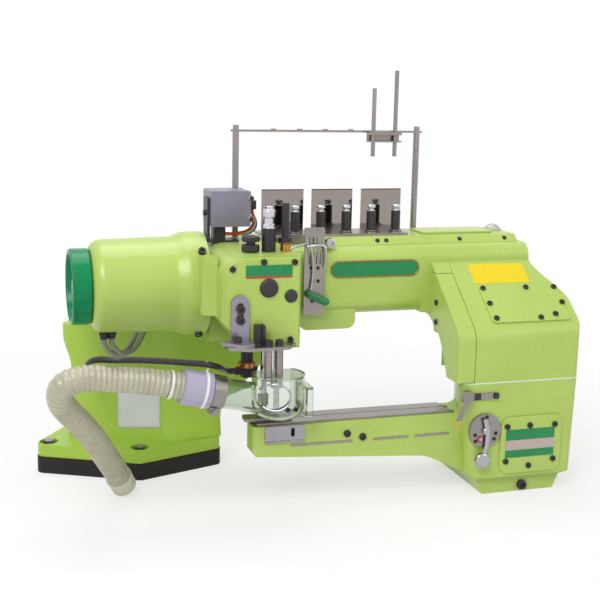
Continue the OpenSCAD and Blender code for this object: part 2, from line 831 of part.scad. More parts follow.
// Plan of the column cover: straight left side, swelling right side
module column_plan(inset) {
    left = cover_split + seam_gap + inset;
    edge = column_front - inset;
    corner = 14;
    polygon(concat([[left, -arm_front], [left, -edge]],
        soft_corner([left, -edge], [column_wide - inset, -edge], [column_wide - inset, -arm_front], corner),
        [for (i = [0:10]) [lerp(column_wide, column_right, smooth(i / 10)) - inset,
            lerp(-arm_front - flare_run, -arm_front, i / 10)]]));
}

// The rounded edge between the column's front and its slope, set in by a wall
function brow(inset) = let (rise = inset / cos(slope_angle), y = -column_front + inset)
    soft_corner([y, column_seam], [y, slope_low + inset * tan(slope_angle) - rise],
        [-arm_front, slope_top - rise], brow_soft);

// Side outline of the column cover, set in by its wall
module column_side(inset) {
    low = column_seam + inset;
    rise = inset / cos(slope_angle);
    polygon(concat([[-arm_front, low], [-column_front + inset, low]], brow(inset), [[-arm_front,
        slope_top - rise]]));
}

// Side outline of the belt cover: the column's front and slope, with a curved back edge
module cheek_side(inset) {
    low = column_seam + seam_gap + inset;
    rise = inset / cos(slope_angle);
    high = cheek_top - seam_gap - inset;
    polygon(concat([[-cheek_heel - inset, low], [-column_front + inset, low]], brow(inset),
        [[-arm_front - (slope_top - rise - high) / tan(slope_angle), high], [-arm_front - inset, high],
            [-arm_front - inset, cheek_low + 14]],
        [for (i = [0:6]) [lerp(-arm_front - 16, -cheek_heel, pow(i / 6, 0.6)) - inset,
            lerp(cheek_low, low + 4, i / 6)]]));
}

module belt_cover() {
    edge_r = 7;
    color(lime) machine() difference() {
        intersection() {
            side(cheek_x, cover_split - cheek_x) cheek_side(0);
            linear_extrude(arm_seam) polygon(concat([[cheek_x, 0], [cover_split, 0], [cover_split,
                -column_front]],
                soft_corner([cover_split, -column_front], [cheek_x, -column_front], [cheek_x, 0], edge_r)));
        }
        side(cheek_x + column_wall, cover_split - cheek_x) cheek_side(column_wall);
    }
}

module column_cover() {
    color(lime) machine() difference() {
        intersection() {
            translate([0, 0, column_seam]) linear_extrude(arm_seam - column_seam) column_plan(0);
            side(column_x, column_w + column_flare + 2) column_side(0);
        }
        intersection() {
            translate([0, 1, 0]) linear_extrude(arm_seam) column_plan(column_wall);
            side(column_x, column_w + column_flare) union() {
                column_side(column_wall);
                translate([-arm_front - 1, column_seam + column_wall]) square([2,
                    slope_top - column_seam - 3 * column_wall]);
            }
        }
        belt_pocket();
    }
}

module access_plate() {
    color(lime) machine() on_slope() translate([access_at[0], access_at[1], 0]) linear_extrude(access_t)
        round_rect(access_size[0], access_size[1], 6);
}

// Front outline of the cylinder bed with the round corner into the column
module bed_outline() {
    root = bed_column_x - 70;
    polygon(concat([[bed_x, bed_tip_low + 5], [bed_x + 4, bed_tip_low], [root, bed_root_low]],
        [for (i = [1:8]) [lerp(root, bed_column_x + 12, i / 8), lerp(bed_root_low, bed_low + 2,
            smooth(i / 8))]],
        [[bed_column_x + 32, bed_low + 2], [bed_column_x + 32, bed_top + bed_fillet_r]],
        arc([bed_column_x + 12 - bed_fillet_r, bed_top + bed_fillet_r], bed_fillet_r, 0, -90),
        [[bed_x, bed_top]]));
}

needle_well = [20, 16, bed_top - needle_tip + needle_stroke + bore_spare];
bed_tip_soft = 24;
bed_soft = 12;
bed_blend = 26;
bed_waist = 54;
bed_taper = 4;

// Plan of the cylinder bed with its rounded free end
module bed_plan() {
    y = [-bed_front, -stitch_y + bed_d / 2];
    x = [bed_x, bed_right - 60];
    polygon(concat([[x[1], y[0]], [x[1], y[1]]],
        soft_corner([x[1], y[1]], [x[0], y[1]], [x[0], y[0]], bed_tip_soft),
        soft_corner([x[0], y[1]], [x[0], y[0]], [x[1], y[0]], 8)));
}

// Left side of the bed's column behind the stitching line, a little outside its two corners
function bed_side(left) = let (k = (column_front - stitch_y) / (column_front + column_back))
    min(bed_column_x, lerp(left, bed_column_x + bed_waist, k) - 1);

// Ring of the bed's column at one height: narrower at the bottom, cut back behind the bed
function bed_column_ring(z) =
    let (t = (column_seam - z) / (column_seam - bed_low), r = bed_right - bed_taper * t,
        left = lerp(cheek_x + 1, bed_column_x, t))
    at_z(soft_ring([[left, -column_front], [r, -column_front], [r, -arm_front],
        [column_right, column_back], [bed_column_x + bed_waist, column_back], [bed_side(left), -stitch_y]],
        [bed_blend, bed_soft, bed_soft, bed_soft, bed_soft, bed_soft]), z);

module bed_casting() {
    color(lime) machine() difference() {
        union() {
            loft([for (z = [bed_low, column_seam]) bed_column_ring(z)]);
            intersection() {
                front(-stitch_y + bed_d / 2, bed_d) bed_outline();
                linear_extrude(arm_seam) bed_plan();
            }
        }
        bar_x(lower_shaft_x[0] - 2, -stitch_y, lower_shaft_h, lower_shaft_r + run_fit,
            lower_shaft_x[1] - lower_shaft_x[0] + 4);
        translate([needle_x - needle_well[0] / 2, -stitch_y - needle_well[1] / 2, bed_top - needle_well[2]])
            cube([needle_well[0], needle_well[1], needle_well[2] + 1]);
        translate([looper_x[0] + 3, -bed_front - 1, looper_low + 3]) cube([looper_x[1] - looper_x[0] - 6,
            14, bed_top - looper_low - 6]);
        belt_pocket();
    }
}

module side_plate() {
    color(lime) machine() front(-column_front, side_plate_t) translate(side_plate_at)
        round_rect(side_plate_size[0], side_plate_size[1], side_plate_r);
}

pan_x = [526, 656];
pan_y = [-140, 20];
pan_lip = 4;
drain_at = [597, 9];

module oil_pan() {
    color(lime) machine() {
        front(pan_y[1], pan_y[1] - pan_y[0])
            polygon([[pan_x[0] + 12, 0], [pan_x[1] - 10, 0], [pan_x[1], pan_h], [pan_x[0], pan_h]]);
        translate([pan_x[0] - pan_lip, pan_y[0] - pan_lip, pan_h]) cube([pan_x[1] - pan_x[0] + 2 * pan_lip,
            pan_y[1] - pan_y[0] + 2 * pan_lip, bed_low - pan_h]);
    }
}

strip_x = [bed_x + 6, 500];
strip_split = 1.5;
trim_x = [[267, 353], [382, 432], [442, 492]];
trim_z = 84;

module bed_strips() {
    half = (bed_d - 8 - strip_split) / 2;
    color(steel) machine() difference() {
        union() {
            for (y = [-stitch_y - strip_split / 2 - half, -stitch_y + strip_split / 2])
                translate([strip_x[0], y, bed_top]) linear_extrude(strip_t)
                    polygon([[0, 0], [strip_x[1] - strip_x[0], 0], [strip_x[1] - strip_x[0] - 8, half],
                        [0, half]]);
            for (x = trim_x) translate([x[0], -bed_front - 1, trim_z]) cube([x[1] - x[0], 1, 3]);
        }
        translate([needle_x - 7, -stitch_y - 5, bed_top - 1]) cube([14, 10, strip_t + 2]);
    }
}

hinge_r = 1.5;

module looper_cover() {
    y = -bed_front - free_gap;
    color(chrome) machine() difference() {
        union() {
            front(y, sheet_t) translate([looper_x[0], looper_low])
                square([looper_x[1] - looper_x[0], bed_top - looper_low]);
            bar_x(looper_x[0], y - hinge_r, looper_low, hinge_r, looper_x[1] - looper_x[0]);
        }
        front(y + 1, sheet_t + 2) translate([looper_x[0] + looper_slot[0], looper_slot[1]])
            round_rect(5, bed_top - looper_slot[1] - 3, 2.4);
    }
}

module feed_dial() {
    color(steel) machine() {
        bar_y(dial_at[0], -column_front, dial_at[1], dial_r, dial_t);
        bar_y(dial_at[0], -column_front, dial_at[1], dial_pin_r, dial_t + 2 * free_gap + lever_t);
    }
}

module feed_lever() {
    color(chrome) machine() translate([dial_at[0], -column_front - dial_t - free_gap, dial_at[1]])
        rotate([90, 0, 0]) linear_extrude(lever_t) rotate(lever_rest) difference() {
            union() {
                circle(9);
                translate([-4, -lever_len]) square([8, lever_len]);
                translate([0, -lever_len - 6]) circle(lever_knob_r);
                translate([-3, 0]) square([6, dial_r - 5]);
                translate([0, dial_r - 5]) circle(3);
            }
            circle(dial_pin_r + run_fit);
        }
}

finger_screw = [545, 142];
finger_block = [494, 144];

module guide_finger() {
    color(chrome) machine() translate([0, -column_front, 0]) {
        front(0, 2.5) translate([finger_block[0], finger_screw[1] - 4])
            square([finger_screw[0] - finger_block[0] + 4, 9]);
        translate([finger_block[0], -11, finger_block[1] - 6]) cube([12, 8.5, 15]);
        front(-6, 2.5) polygon([[finger_block[0] + 2, finger_block[1] - 5], [finger_block[0] + 10,
            finger_block[1] - 5],
            [finger_block[0] - 6, 100], [finger_block[0] - 12, 100]]);
        bar_y(finger_screw[0], -2.5, finger_screw[1] + 0.5, 4, 2);
    }
}

thread_x = [302, 330];
thread_z = [243, 361];

module thread_plate() {
    y = -arm_front - 4;
    color(steel) machine() difference() {
        union() {
            front(y, 2.5) translate([thread_x[0], thread_z[0]]) round_rect(thread_x[1] - thread_x[0],
                thread_z[1] - thread_z[0], 2);
            for (z = [256, 306]) bar_y(thread_x[0] + 14, -arm_front, z, 5, 5);
        }
        for (i = [0:3]) front(y + 1, 5) translate([thread_x[0] + 6 + 5 * i, 312]) square([1.8, 36]);
    }
}

module thread_wires() {
    color(chrome) machine() {
        tube_along(guide_wire, guide_wire_r, sides = 8, steps = 3, hint = [0.2, 1, 0.1]);
        tube_along(loop_wire, guide_wire_r, sides = 8, steps = 3, hint = [0.2, 1, 0.1]);
    }
}

module thread_guard() {
    color(green) machine() translate([309, -62, 272]) rotate([0, 115, 0]) {
        cylinder(r = 5.5, h = 24);
        translate([0, 0, 24]) sphere(r = 5.5);
        sphere(r = 5.5);
    }
}

module tension_bed() {
    color(steel) machine() {
        translate([tension_x0 - 10, tension_y - 14, top_z]) cube([tension_pitch * (tension_count - 1)
            + 24, 56, tension_bed_t]);
        translate([tension_x0 + 16, tension_y - 10, arm_seam]) cube([40, 40, top_cover_h]);
        for (x = tension_plate_x) translate([x, tension_y + 40, top_z]) cube([tension_plate_w, 1.5,
            tension_plate_h + 5]);
        for (i = [0:tension_count - 1]) translate([tension_x0 + i * tension_pitch, tension_y,
            top_z + tension_bed_t - 0.5]) {
            cylinder(r = spindle_r, h = disc_h + knob_h + 2);
            cylinder(r = disc_r, h = 1.5);
            translate([0, 0, 2.5]) cylinder(r = disc_r, h = 1.5);
        }
    }
}

module tension_knob(i) {
    color(black) machine() translate([tension_x0 + (i - 1) * tension_pitch, tension_y, tension_seat])
        difference() {
        rotate_extrude() polygon([[0, 0], [knob_r, 0], [knob_r, knob_h], [knob_r - 2, knob_h + 1],
            [knob_r - 2, knob_h + 3],
            [knob_r - 0.5, knob_h + 5], [knob_r - 0.5, knob_h + 8], [knob_r - 2, knob_h + 9], [0,
                knob_h + 9]]);
        translate([0, 0, -1]) cylinder(r = spindle_r + run_fit, h = knob_h + 4);
    }
}

module thread_stand() {
    color(steel) machine() {
        translate([stand_x[0], stand_y, head_top]) cylinder(r = post_r, h = bar_h - head_top);
        translate([stand_x[1], stand_y, top_z]) cylinder(r = post_r, h = bar_h - top_z);
        translate([stand_x[0] - 7, stand_y - bar_w / 2, bar_h])
            cube([stand_x[1] - stand_x[0] + 14, bar_w, bar_t]);
        for (x = stand_x) translate([x, stand_y, bar_h + bar_t]) cylinder(r = post_r - 0.5,
            h = stand_cap_h);
        for (i = [0:3]) translate([stand_x[0] + 50 + 38 * i, stand_y - 2, bar_h + bar_t]) cube([7, 4, 1.5]);
    }
}

module spool_pins() {
    back = stand_y - bar_w / 2;
    y = back - pin_wall - 1 - pin_r;
    low = bar_h - 13;
    w = pin_x[1] - pin_x[0];
    color(steel) machine() {
        difference() {
            translate([pin_x[0] - 8, y - 6, low]) cube([w + 16, back - y + 6, 12 + bar_t]);
            translate([pin_x[0] - 9, y - 7, low + pin_wall]) cube([w + 18, back - pin_wall - y + 7, 8]);
        }
        translate([pin_x[0], y, pin_low]) cylinder(r = pin_r, h = short_pin_h - pin_low);
        translate([pin_x[1], y, pin_low]) cylinder(r = pin_r, h = tall_pin_h - pin_low);
    }
}

box_at = [187, -4, 357];
box_size = [55, 48, 48];

module valve_box() {
    color([0.58, 0.56, 0.62]) machine() {
        front(box_at[1] + box_size[1], box_size[1]) translate([box_at[0], box_at[2]])
            round_rect(box_size[0], box_size[2], 3);
        for (z = [10, box_size[2] - 10]) bar_y(box_at[0] + box_size[0], box_at[1] + 12, box_at[2] + z, 4,
            14);
    }
    color(black) machine() {
        translate([box_at[0] - 4, box_at[1] + 4, head_top]) cube([4, 24, 60]);
        translate([box_at[0] - 4, box_at[1] + 4, head_top]) cube([44, 28, 2.5]);
        translate([box_at[0] + 6, box_at[1] + 8, head_top]) cube([16, 20, box_at[2] - head_top]);
        bar_x(box_at[0] - 7, box_at[1] + 16, box_at[2] + 18, 4, 3);
        translate([box_at[0] + box_size[0], box_at[1] + 10, box_at[2] + 22]) cube([10, 12, 12]);
    }
}

module valve_wires() {
    color([0.78, 0.3, 0.12]) machine() for (i = [0:2]) tube_along([for (p = wire_route)
        p + i * wire_step], wire_r, sides = 8, hint = [0.1, 1, 0.1]);
}

module nozzle_bracket() {
    y = -head_front - cover_t;
    w = bracket_x[1] - bracket_x[0];
    color([0.6, 0.58, 0.64]) machine() {
        front(y, bracket_t) difference() {
            translate([bracket_x[0], foot_z]) union() {
                square([w, 50]);
                translate([w / 2, 50]) circle(w / 2);
            }
            translate([bracket_x[0] + w / 2 - 4, foot_z + 24]) round_rect(8, 28, 3.9);
        }
        translate([0, y, foot_z]) linear_extrude(bracket_t) polygon([[bracket_x[0] - 14, -8],
            [bracket_x[0] - 6, 0],
            [bracket_x[1], 0], [bracket_x[1] + 6, -8], [bracket_x[1] + 2, -24], [bracket_x[0] + 10, -32]]);
    }
    color(black) machine() {
        for (z = [30, 44]) translate([bracket_x[0] + w / 2, y - bracket_t, foot_z + z]) rotate([90, 0,
            0]) socket_head(5.5, 4);
        translate([bracket_x[0] + 6, y - 14, foot_z + bracket_t]) socket_head(5, 7);
    }
}

module nozzle_plate() {
    y = -head_front - cover_t;
    color(steel) machine() {
        translate([0, y, plate_z]) linear_extrude(bracket_t) polygon([[bracket_x[0] - 8,
            -screw_h - free_gap], [262, -screw_h - free_gap],
            [266, -12], [252, -30], [200, -32], [bracket_x[0] - 8, -20]]);
        for (x = pillar_x) translate([x, pillar_y, nozzle_top]) cylinder(r = 5, h = plate_z - nozzle_top);
    }
    color(black) machine() {
        for (x = pillar_x) translate([x, pillar_y, foot_z]) socket_head(5, 7);
        translate([213.5, y - 10, foot_z]) cube([8, 10, 24]);
        translate([222, y - 12, foot_z]) cube([4, 12, 24]);
    }
}

// Frame of the clear pipe: z runs along the pipe to the left
module on_pipe() {
    translate(pipe_root) rotate([0, -90 + pipe_tilt, 0]) children();
}

module bowl(r, low) {
    rotate_extrude() polygon(concat([[0, low]], arc([r * 0.45, low + r * 0.55], r * 0.55, -90, 0, 8),
        [[r, nozzle_top - nozzle_low], [0, nozzle_top - nozzle_low]]));
}

module suction_nozzle() {
    color(clear) machine() difference() {
        union() {
            intersection() {
                translate([nozzle_c[0], nozzle_c[1], nozzle_low]) bowl(bowl_r, 0);
                translate([nozzle_c[0] - 60, nozzle_cut - 100, 0]) cube([120, 100, 400]);
            }
            on_pipe() cylinder(r = pipe_r, h = pipe_len + cuff_len / 2);
            translate([nozzle_c[0] + bowl_r - 4, nozzle_cut - 44, nozzle_low + 4]) cube([10, 44, 38]);
        }
        intersection() {
            translate([nozzle_c[0], nozzle_c[1], nozzle_low]) bowl(bowl_r - clear_wall, clear_wall);
            translate([nozzle_c[0] - 60, nozzle_cut - 100, 0]) cube([120, 101, nozzle_top - clear_wall]);
        }
        on_pipe() cylinder(r = pipe_r - clear_wall, h = pipe_len + cuff_len);
        translate([nozzle_c[0] + bowl_r - 1, nozzle_cut - 41, nozzle_low + 3]) cube([12, 42, 36]);
    }
}

module hose_clamp() {
    color(steel) machine() on_pipe() translate([0, 0, pipe_len - clamp_w]) {
        difference() {
            cylinder(r = pipe_r + 2.3, h = clamp_w);
            translate([0, 0, -1]) cylinder(r = pipe_r + 0.3, h = clamp_w + 2);
        }
        translate([-pipe_r - 9, -9, 2]) cube([9, 14, clamp_w - 4]);
        translate([-pipe_r - 6, -12, clamp_w / 2]) rotate([-90, 0, 0]) cylinder(r = 4, h = 22);
    }
}

module hose_cuff() {
    color([0.66, 0.64, 0.73]) machine() on_pipe() translate([0, 0, pipe_len + cuff_gap]) difference() {
        union() {
            cylinder(r = cuff_r, h = cuff_len);
            translate([0, 0, tie_gap]) cylinder(r = cuff_r + 1, h = 3);
        }
        translate([0, 0, -1]) cylinder(r = pipe_r + 0.1, h = cuff_len / 2);
        cylinder(r = hose_r - hose_wall, h = cuff_len + 1);
    }
}

module suction_hose() {
    color([0.72, 0.7, 0.6]) machine() tube_along(hose_route, hose_r, sides = 12, steps = 1, hint = [0,
        0.77, 0.63]);
}

module hose_end() {
    color([0.8, 0.79, 0.74]) machine() tube_along(hose_end_route, hose_r + 1, sides = 12, steps = 1,
        hint = [0, 0.77, 0.63]);
}

module air_hose() {
    color(black) machine() tube_along(air_route, air_r, sides = 8, steps = 2, hint = [0.3, 0.4, 1]);
}

module air_fitting() {
    color([0.72, 0.45, 0.2]) machine() {
        translate([fitting_x, -stitch_y, fitting_low]) cylinder(r = 8, h = head_bottom - fitting_low);
        translate([fitting_x, -stitch_y, ring_z[0]]) cylinder(r = 11.5, h = ring_z[1] - ring_z[0]);
        bar_x(fitting_x - barb_len, -stitch_y, barb_h, air_r + 1.5, barb_len + 13);
    }
}

base_plinth();
pedestal();
base_bolts();
motor_housing();
motor_cables();
handwheel();
main_shaft();
drive_pulley();
lower_shaft();
driven_pulley();
timing_belt();
arm_casting();
head_cover();
panel_screws();
head_plugs();
badge_plates();
needle_bar();
needles();
presser_bar();
presser_foot();
pressure_knob();
pressure_regulator();
lift_guide();
top_cover();
filler_lid();
oil_sight();
column_cover();
belt_cover();
access_plate();
bed_casting();
side_plate();
oil_pan();
bed_strips();
looper_cover();
feed_dial();
feed_lever();
guide_finger();
thread_plate();
thread_wires();
thread_guard();
tension_bed();
tension_knob(1);  // tension_knob_1
tension_knob(2);  // tension_knob_2
tension_knob(3);  // tension_knob_3
tension_knob(4);  // tension_knob_4
tension_knob(5);  // tension_knob_5
tension_knob(6);  // tension_knob_6
thread_stand();
spool_pins();
valve_box();
valve_wires();
nozzle_bracket();
nozzle_plate();
suction_nozzle();
hose_clamp();
hose_cuff();
suction_hose();
hose_end();
air_hose();
air_fitting();
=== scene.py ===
"""Looks of a flatlock sewing machine on its pedestal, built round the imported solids.

Lengths are metres in the part's own frame. Points written in millimetres are measured, as in the
part's source, from the handwheel's face and the main shaft's axis, and machine() puts them on the base.
"""

import math

import bpy
import numpy as np
from mathutils import Matrix, Vector
from mathutils.bvhtree import BVHTree


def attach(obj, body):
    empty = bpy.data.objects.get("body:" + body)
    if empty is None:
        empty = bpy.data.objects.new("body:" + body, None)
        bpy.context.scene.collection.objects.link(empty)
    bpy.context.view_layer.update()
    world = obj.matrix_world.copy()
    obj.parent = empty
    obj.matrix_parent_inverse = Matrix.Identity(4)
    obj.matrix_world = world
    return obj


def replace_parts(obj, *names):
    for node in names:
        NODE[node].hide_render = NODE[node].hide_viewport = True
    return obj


bl_info = {
    "name": "Flatlock machine looks",
    "version": (1, 0, 0),
    "blender": (4, 5, 0),
    "location": "View3D > Sidebar > Flatlock",
    "description": "Dresses the solids of a flatlock sewing machine with finishes, hoses, wires and fittings",
    "category": "Object",
}

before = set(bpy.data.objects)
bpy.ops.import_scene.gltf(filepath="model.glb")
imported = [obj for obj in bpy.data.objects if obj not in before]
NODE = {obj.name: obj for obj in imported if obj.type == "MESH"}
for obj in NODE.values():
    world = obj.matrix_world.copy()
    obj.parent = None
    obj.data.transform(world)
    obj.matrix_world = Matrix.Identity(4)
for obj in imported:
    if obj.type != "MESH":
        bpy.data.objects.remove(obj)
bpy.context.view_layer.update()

MM = 0.001
# The handwheel's face and the shaft's axis, from the middle of the base, in millimetres
WHEEL_FACE = np.array([-90.0, -122.0, 0.0])
ROOT = "machine_body"
# The photograph's side and its camera's focal length, in pixels
IMAGE_SIDE = 600
FOCAL = 1120
# Edges of the solids that bend more than this are rounded, and are kept out of the smooth shading
SHARP_EDGE = math.radians(34)


def linear(code):
    """An sRGB hex colour as linear RGBA: v / 12.92 near black, ((v + 0.055) / 1.055) ** 2.4 above."""
    v = np.array([int(code[i:i + 2], 16) for i in (1, 3, 5)]) / 255
    rgb = np.where(v <= 0.04045, v / 12.92, ((v + 0.055) / 1.055) ** 2.4)
    return (*(float(c) for c in rgb), 1.0)


def machine(points):
    """Millimetres from the handwheel's face and the shaft's axis, as metres from the middle of the base."""
    return (np.asarray(points, float) + WHEEL_FACE) * MM


def add(tree, kind, inputs=(), **settings):
    """Adds one node. Settings are its properties; inputs are its sockets' values, or what feeds them."""
    node = tree.nodes.new(kind)
    for key, value in settings.items():
        setattr(node, key, value)
    for name, value in dict(inputs).items():
        socket = node.inputs[name]
        if isinstance(value, bpy.types.NodeSocket):
            tree.links.new(value, socket)
        else:
            socket.default_value = value
    return node


def box_mask(tree, place, low, high):
    """1 inside a box of the part's frame, 0 outside: the largest of |p - middle| - half is below zero."""
    off = add(tree, "ShaderNodeVectorMath", {0: place, 1: tuple((low + high) / 2)}, operation="SUBTRACT")
    size = add(tree, "ShaderNodeVectorMath", {0: off.outputs[0]}, operation="ABSOLUTE")
    half = tuple((high - low) / 2)
    over = add(tree, "ShaderNodeVectorMath", {0: size.outputs[0], 1: half}, operation="SUBTRACT")
    axes = add(tree, "ShaderNodeSeparateXYZ", {0: over.outputs[0]})
    flat = add(tree, "ShaderNodeMath", {0: axes.outputs[0], 1: axes.outputs[1]}, operation="MAXIMUM")
    most = add(tree, "ShaderNodeMath", {0: flat.outputs[0], 1: axes.outputs[2]}, operation="MAXIMUM")
    return add(tree, "ShaderNodeMath", {0: most.outputs[0], 1: 0.0}, operation="LESS_THAN").outputs[0]


def camera_sees(tree):
    """1 for rays from the camera, also by way of gloss or glass, and 0 for rays that only carry light."""
    path = add(tree, "ShaderNodeLightPath")
    gloss = add(tree, "ShaderNodeMath", {0: path.outputs["Is Camera Ray"], 1: path.outputs["Is Glossy Ray"]},
                operation="MAXIMUM")
    return add(tree, "ShaderNodeMath", {0: gloss.outputs[0], 1: path.outputs["Is Transmission Ray"]},
               operation="MAXIMUM").outputs[0]


def finish(name, tone, shade, grain_mm, rough, bump_mm, metal=0.0, mottle_mm=60.0, stretch=(1, 1, 1),
           zones=(), **shader_values):
    """A surface in two close tones. A broad mottle and a fine grain mix the tones, the grain drives the
    roughness between its two limits, and its height is the bump. Each zone is a box of the part's frame with
    its own tone, metallic and roughness. Other values go to the shader's own sockets."""
    mat = bpy.data.materials.new(name)
    mat.use_nodes = True
    tree = mat.node_tree
    shader = tree.nodes["Principled BSDF"]
    place = add(tree, "ShaderNodeTexCoord").outputs["Object"]
    along = add(tree, "ShaderNodeMapping", {"Vector": place, "Scale": stretch}).outputs[0]
    mottle = add(tree, "ShaderNodeTexNoise", {"Vector": place, "Scale": 1 / (mottle_mm * MM), "Detail": 3.0})
    grain = add(tree, "ShaderNodeTexNoise", {"Vector": along, "Scale": 1 / (grain_mm * MM), "Detail": 4.0})
    both = add(tree, "ShaderNodeMath", {0: mottle.outputs["Fac"], 1: grain.outputs["Fac"]}, operation="ADD")
    blend = add(tree, "ShaderNodeMapRange", {"Value": both.outputs[0], "From Min": 0.7, "From Max": 1.3})
    colour = add(tree, "ShaderNodeMix", {"Factor": blend.outputs[0], "A": linear(shade), "B": linear(tone)},
                 data_type="RGBA").outputs["Result"]
    gloss = add(tree, "ShaderNodeMapRange", {"Value": grain.outputs["Fac"], "From Min": 0.3, "From Max": 0.7,
                                             "To Min": rough[0], "To Max": rough[1]}).outputs[0]
    metallic = None
    for low, high, zone_tone, zone_metal, zone_rough in zones:
        mask = box_mask(tree, place, low, high)
        colour = add(tree, "ShaderNodeMix", {"Factor": mask, "A": colour, "B": linear(zone_tone)},
                     data_type="RGBA").outputs["Result"]
        gloss = add(tree, "ShaderNodeMix", {"Factor": mask, "A": gloss, "B": zone_rough}).outputs["Result"]
        metallic = add(tree, "ShaderNodeMix", {"Factor": mask, "A": metal if metallic is None else metallic,
                                               "B": zone_metal}).outputs["Result"]
    tree.links.new(colour, shader.inputs["Base Color"])
    tree.links.new(gloss, shader.inputs["Roughness"])
    if metallic is None:
        shader.inputs["Metallic"].default_value = metal
    else:
        tree.links.new(metallic, shader.inputs["Metallic"])
    bump = add(tree, "ShaderNodeBump", {"Height": grain.outputs["Fac"], "Distance": bump_mm * MM,
                                        "Strength": 0.6})
    tree.links.new(bump.outputs[0], shader.inputs["Normal"])
    for key, value in shader_values.items():
        shader.inputs[key.replace("_", " ")].default_value = value
    return mat


def catmull(route, steps):
    """A smooth curve through the route. Between b and c, with neighbours a and d, it is the cubic
    0.5 (2b + (c - a) t + (2a - 5b + 4c - d) t^2 + (3b - a - 3c + d) t^3)."""
    p = np.asarray(route, float)
    q = np.vstack([p[:1], p, p[-1:]])
    a, b, c, d = (q[i:i + len(p) - 1, None, :] for i in range(4))
    t = (np.arange(steps) / steps)[None, :, None]
    curve = 0.5 * (2 * b + (c - a) * t + (2 * a - 5 * b + 4 * c - d) * t**2 + (3 * b - a - 3 * c + d) * t**3)
    return np.vstack([curve.reshape(-1, 3), p[-1:]])


def even(path, step):
    """The same path with its points an even step apart, found from the running length."""
    run = np.append(0, np.cumsum(np.linalg.norm(np.diff(path, axis=0), axis=1)))
    at = np.linspace(0, run[-1], max(2, round(run[-1] / step) + 1))
    return np.stack([np.interp(at, run, path[:, k]) for k in range(3)], 1), at


def swept(path, radius, sides, hint):
    """A tube: each point of the path carries a ring radius (u cos a + v sin a), where u = d x hint and
    v = d x u for the path's direction d. The hint is a direction that the path never runs along."""
    d = np.gradient(path, axis=0)
    if np.allclose(path[0], path[-1]):
        d[0] = d[-1] = path[1] - path[-2]
    d /= np.linalg.norm(d, axis=1)[:, None]
    u = np.cross(d, np.asarray(hint, float))
    u /= np.linalg.norm(u, axis=1)[:, None]
    v = np.cross(d, u)
    a = np.linspace(0, 2 * np.pi, sides, endpoint=False)[None, :, None]
    r = np.broadcast_to(np.asarray(radius, float), (len(path),))[:, None, None]
    return path[:, None] + r * (u[:, None] * np.cos(a) + v[:, None] * np.sin(a))


def turned(profile, start, axis, sides, ripple=None):
    """A turned shape: each (along, radius) of the profile is a ring round the axis. Ripple changes the
    radius with the angle, for knurls and flutes."""
    along, r = np.asarray(profile, float).T
    d = np.asarray(axis, float) / np.linalg.norm(axis)
    u = np.cross(d, [0.31, 0.52, 0.79])
    u /= np.linalg.norm(u)
    v = np.cross(d, u)
    a = np.linspace(0, 2 * np.pi, sides, endpoint=False)
    wide = r[:, None] + (0 if ripple is None else ripple(along[:, None], a[None, :]))
    ring = np.cos(a)[:, None] * u + np.sin(a)[:, None] * v
    return np.asarray(start, float) + along[:, None, None] * d + wide[:, :, None] * ring


def skin(name, points, mat, body=ROOT, sheet=False, sharp=40.0):
    """An object over a grid of points (row, column), or over a list of such grids: quads between
    neighbours. Unless it is a sheet, columns close into a ring and each end gets a face. Where the last row
    is the first again, the rows close too. Edges sharper than the angle, in degrees, stay sharp."""
    grids = points if isinstance(points, list) else [points]
    quads, places, first = [], [], 0
    for grid in grids:
        closed = np.allclose(grid[0], grid[-1], atol=1e-7)
        grid = grid[:-1] if closed else grid
        m, n = grid.shape[:2]
        i, j = np.meshgrid(np.arange(m if closed else m - 1), np.arange(n - 1 if sheet else n), indexing="ij")
        k, below = (j + 1) % n, (i + 1) % m
        corners = np.stack([i * n + j, i * n + k, below * n + k, below * n + j], -1).reshape(-1, 4)
        quads += (corners + first).tolist()
        if not (sheet or closed):
            quads += [list(range(first, first + n))[::-1], list(range(first + (m - 1) * n, first + m * n))]
        places.append(grid.reshape(-1, 3))
        first += m * n
    mesh = bpy.data.meshes.new(name)
    mesh.from_pydata(np.vstack(places).tolist(), [], quads)
    mesh.polygons.foreach_set("use_smooth", np.ones(len(quads), bool))
    mesh.set_sharp_from_angle(angle=math.radians(sharp))
    mesh.materials.append(mat)
    piece = bpy.data.objects.new(name, mesh)
    bpy.context.scene.collection.objects.link(piece)
    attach(piece, body)
    return piece


def slab(middle, across, upward, wide, high, corner, thick):
    """A thin plate on a plane: a rectangle with quarter circles for corners, raised by its thickness along
    across x upward. Sizes are millimetres, the middle is measured like the part's points."""
    e, f = (np.asarray(v, float) / np.linalg.norm(v) for v in (across, upward))
    a = np.linspace(0, np.pi / 2, 8)
    quarter = np.arange(4)[:, None] * np.pi / 2
    x = np.array([[1], [-1], [-1], [1]]) * (wide / 2 - corner) + corner * np.cos(a + quarter)
    y = np.array([[1], [1], [-1], [-1]]) * (high / 2 - corner) + corner * np.sin(a + quarter)
    ring = np.asarray(middle, float) + x.reshape(-1, 1) * e + y.reshape(-1, 1) * f
    return machine(np.stack([ring, ring + thick * np.cross(e, f)]))


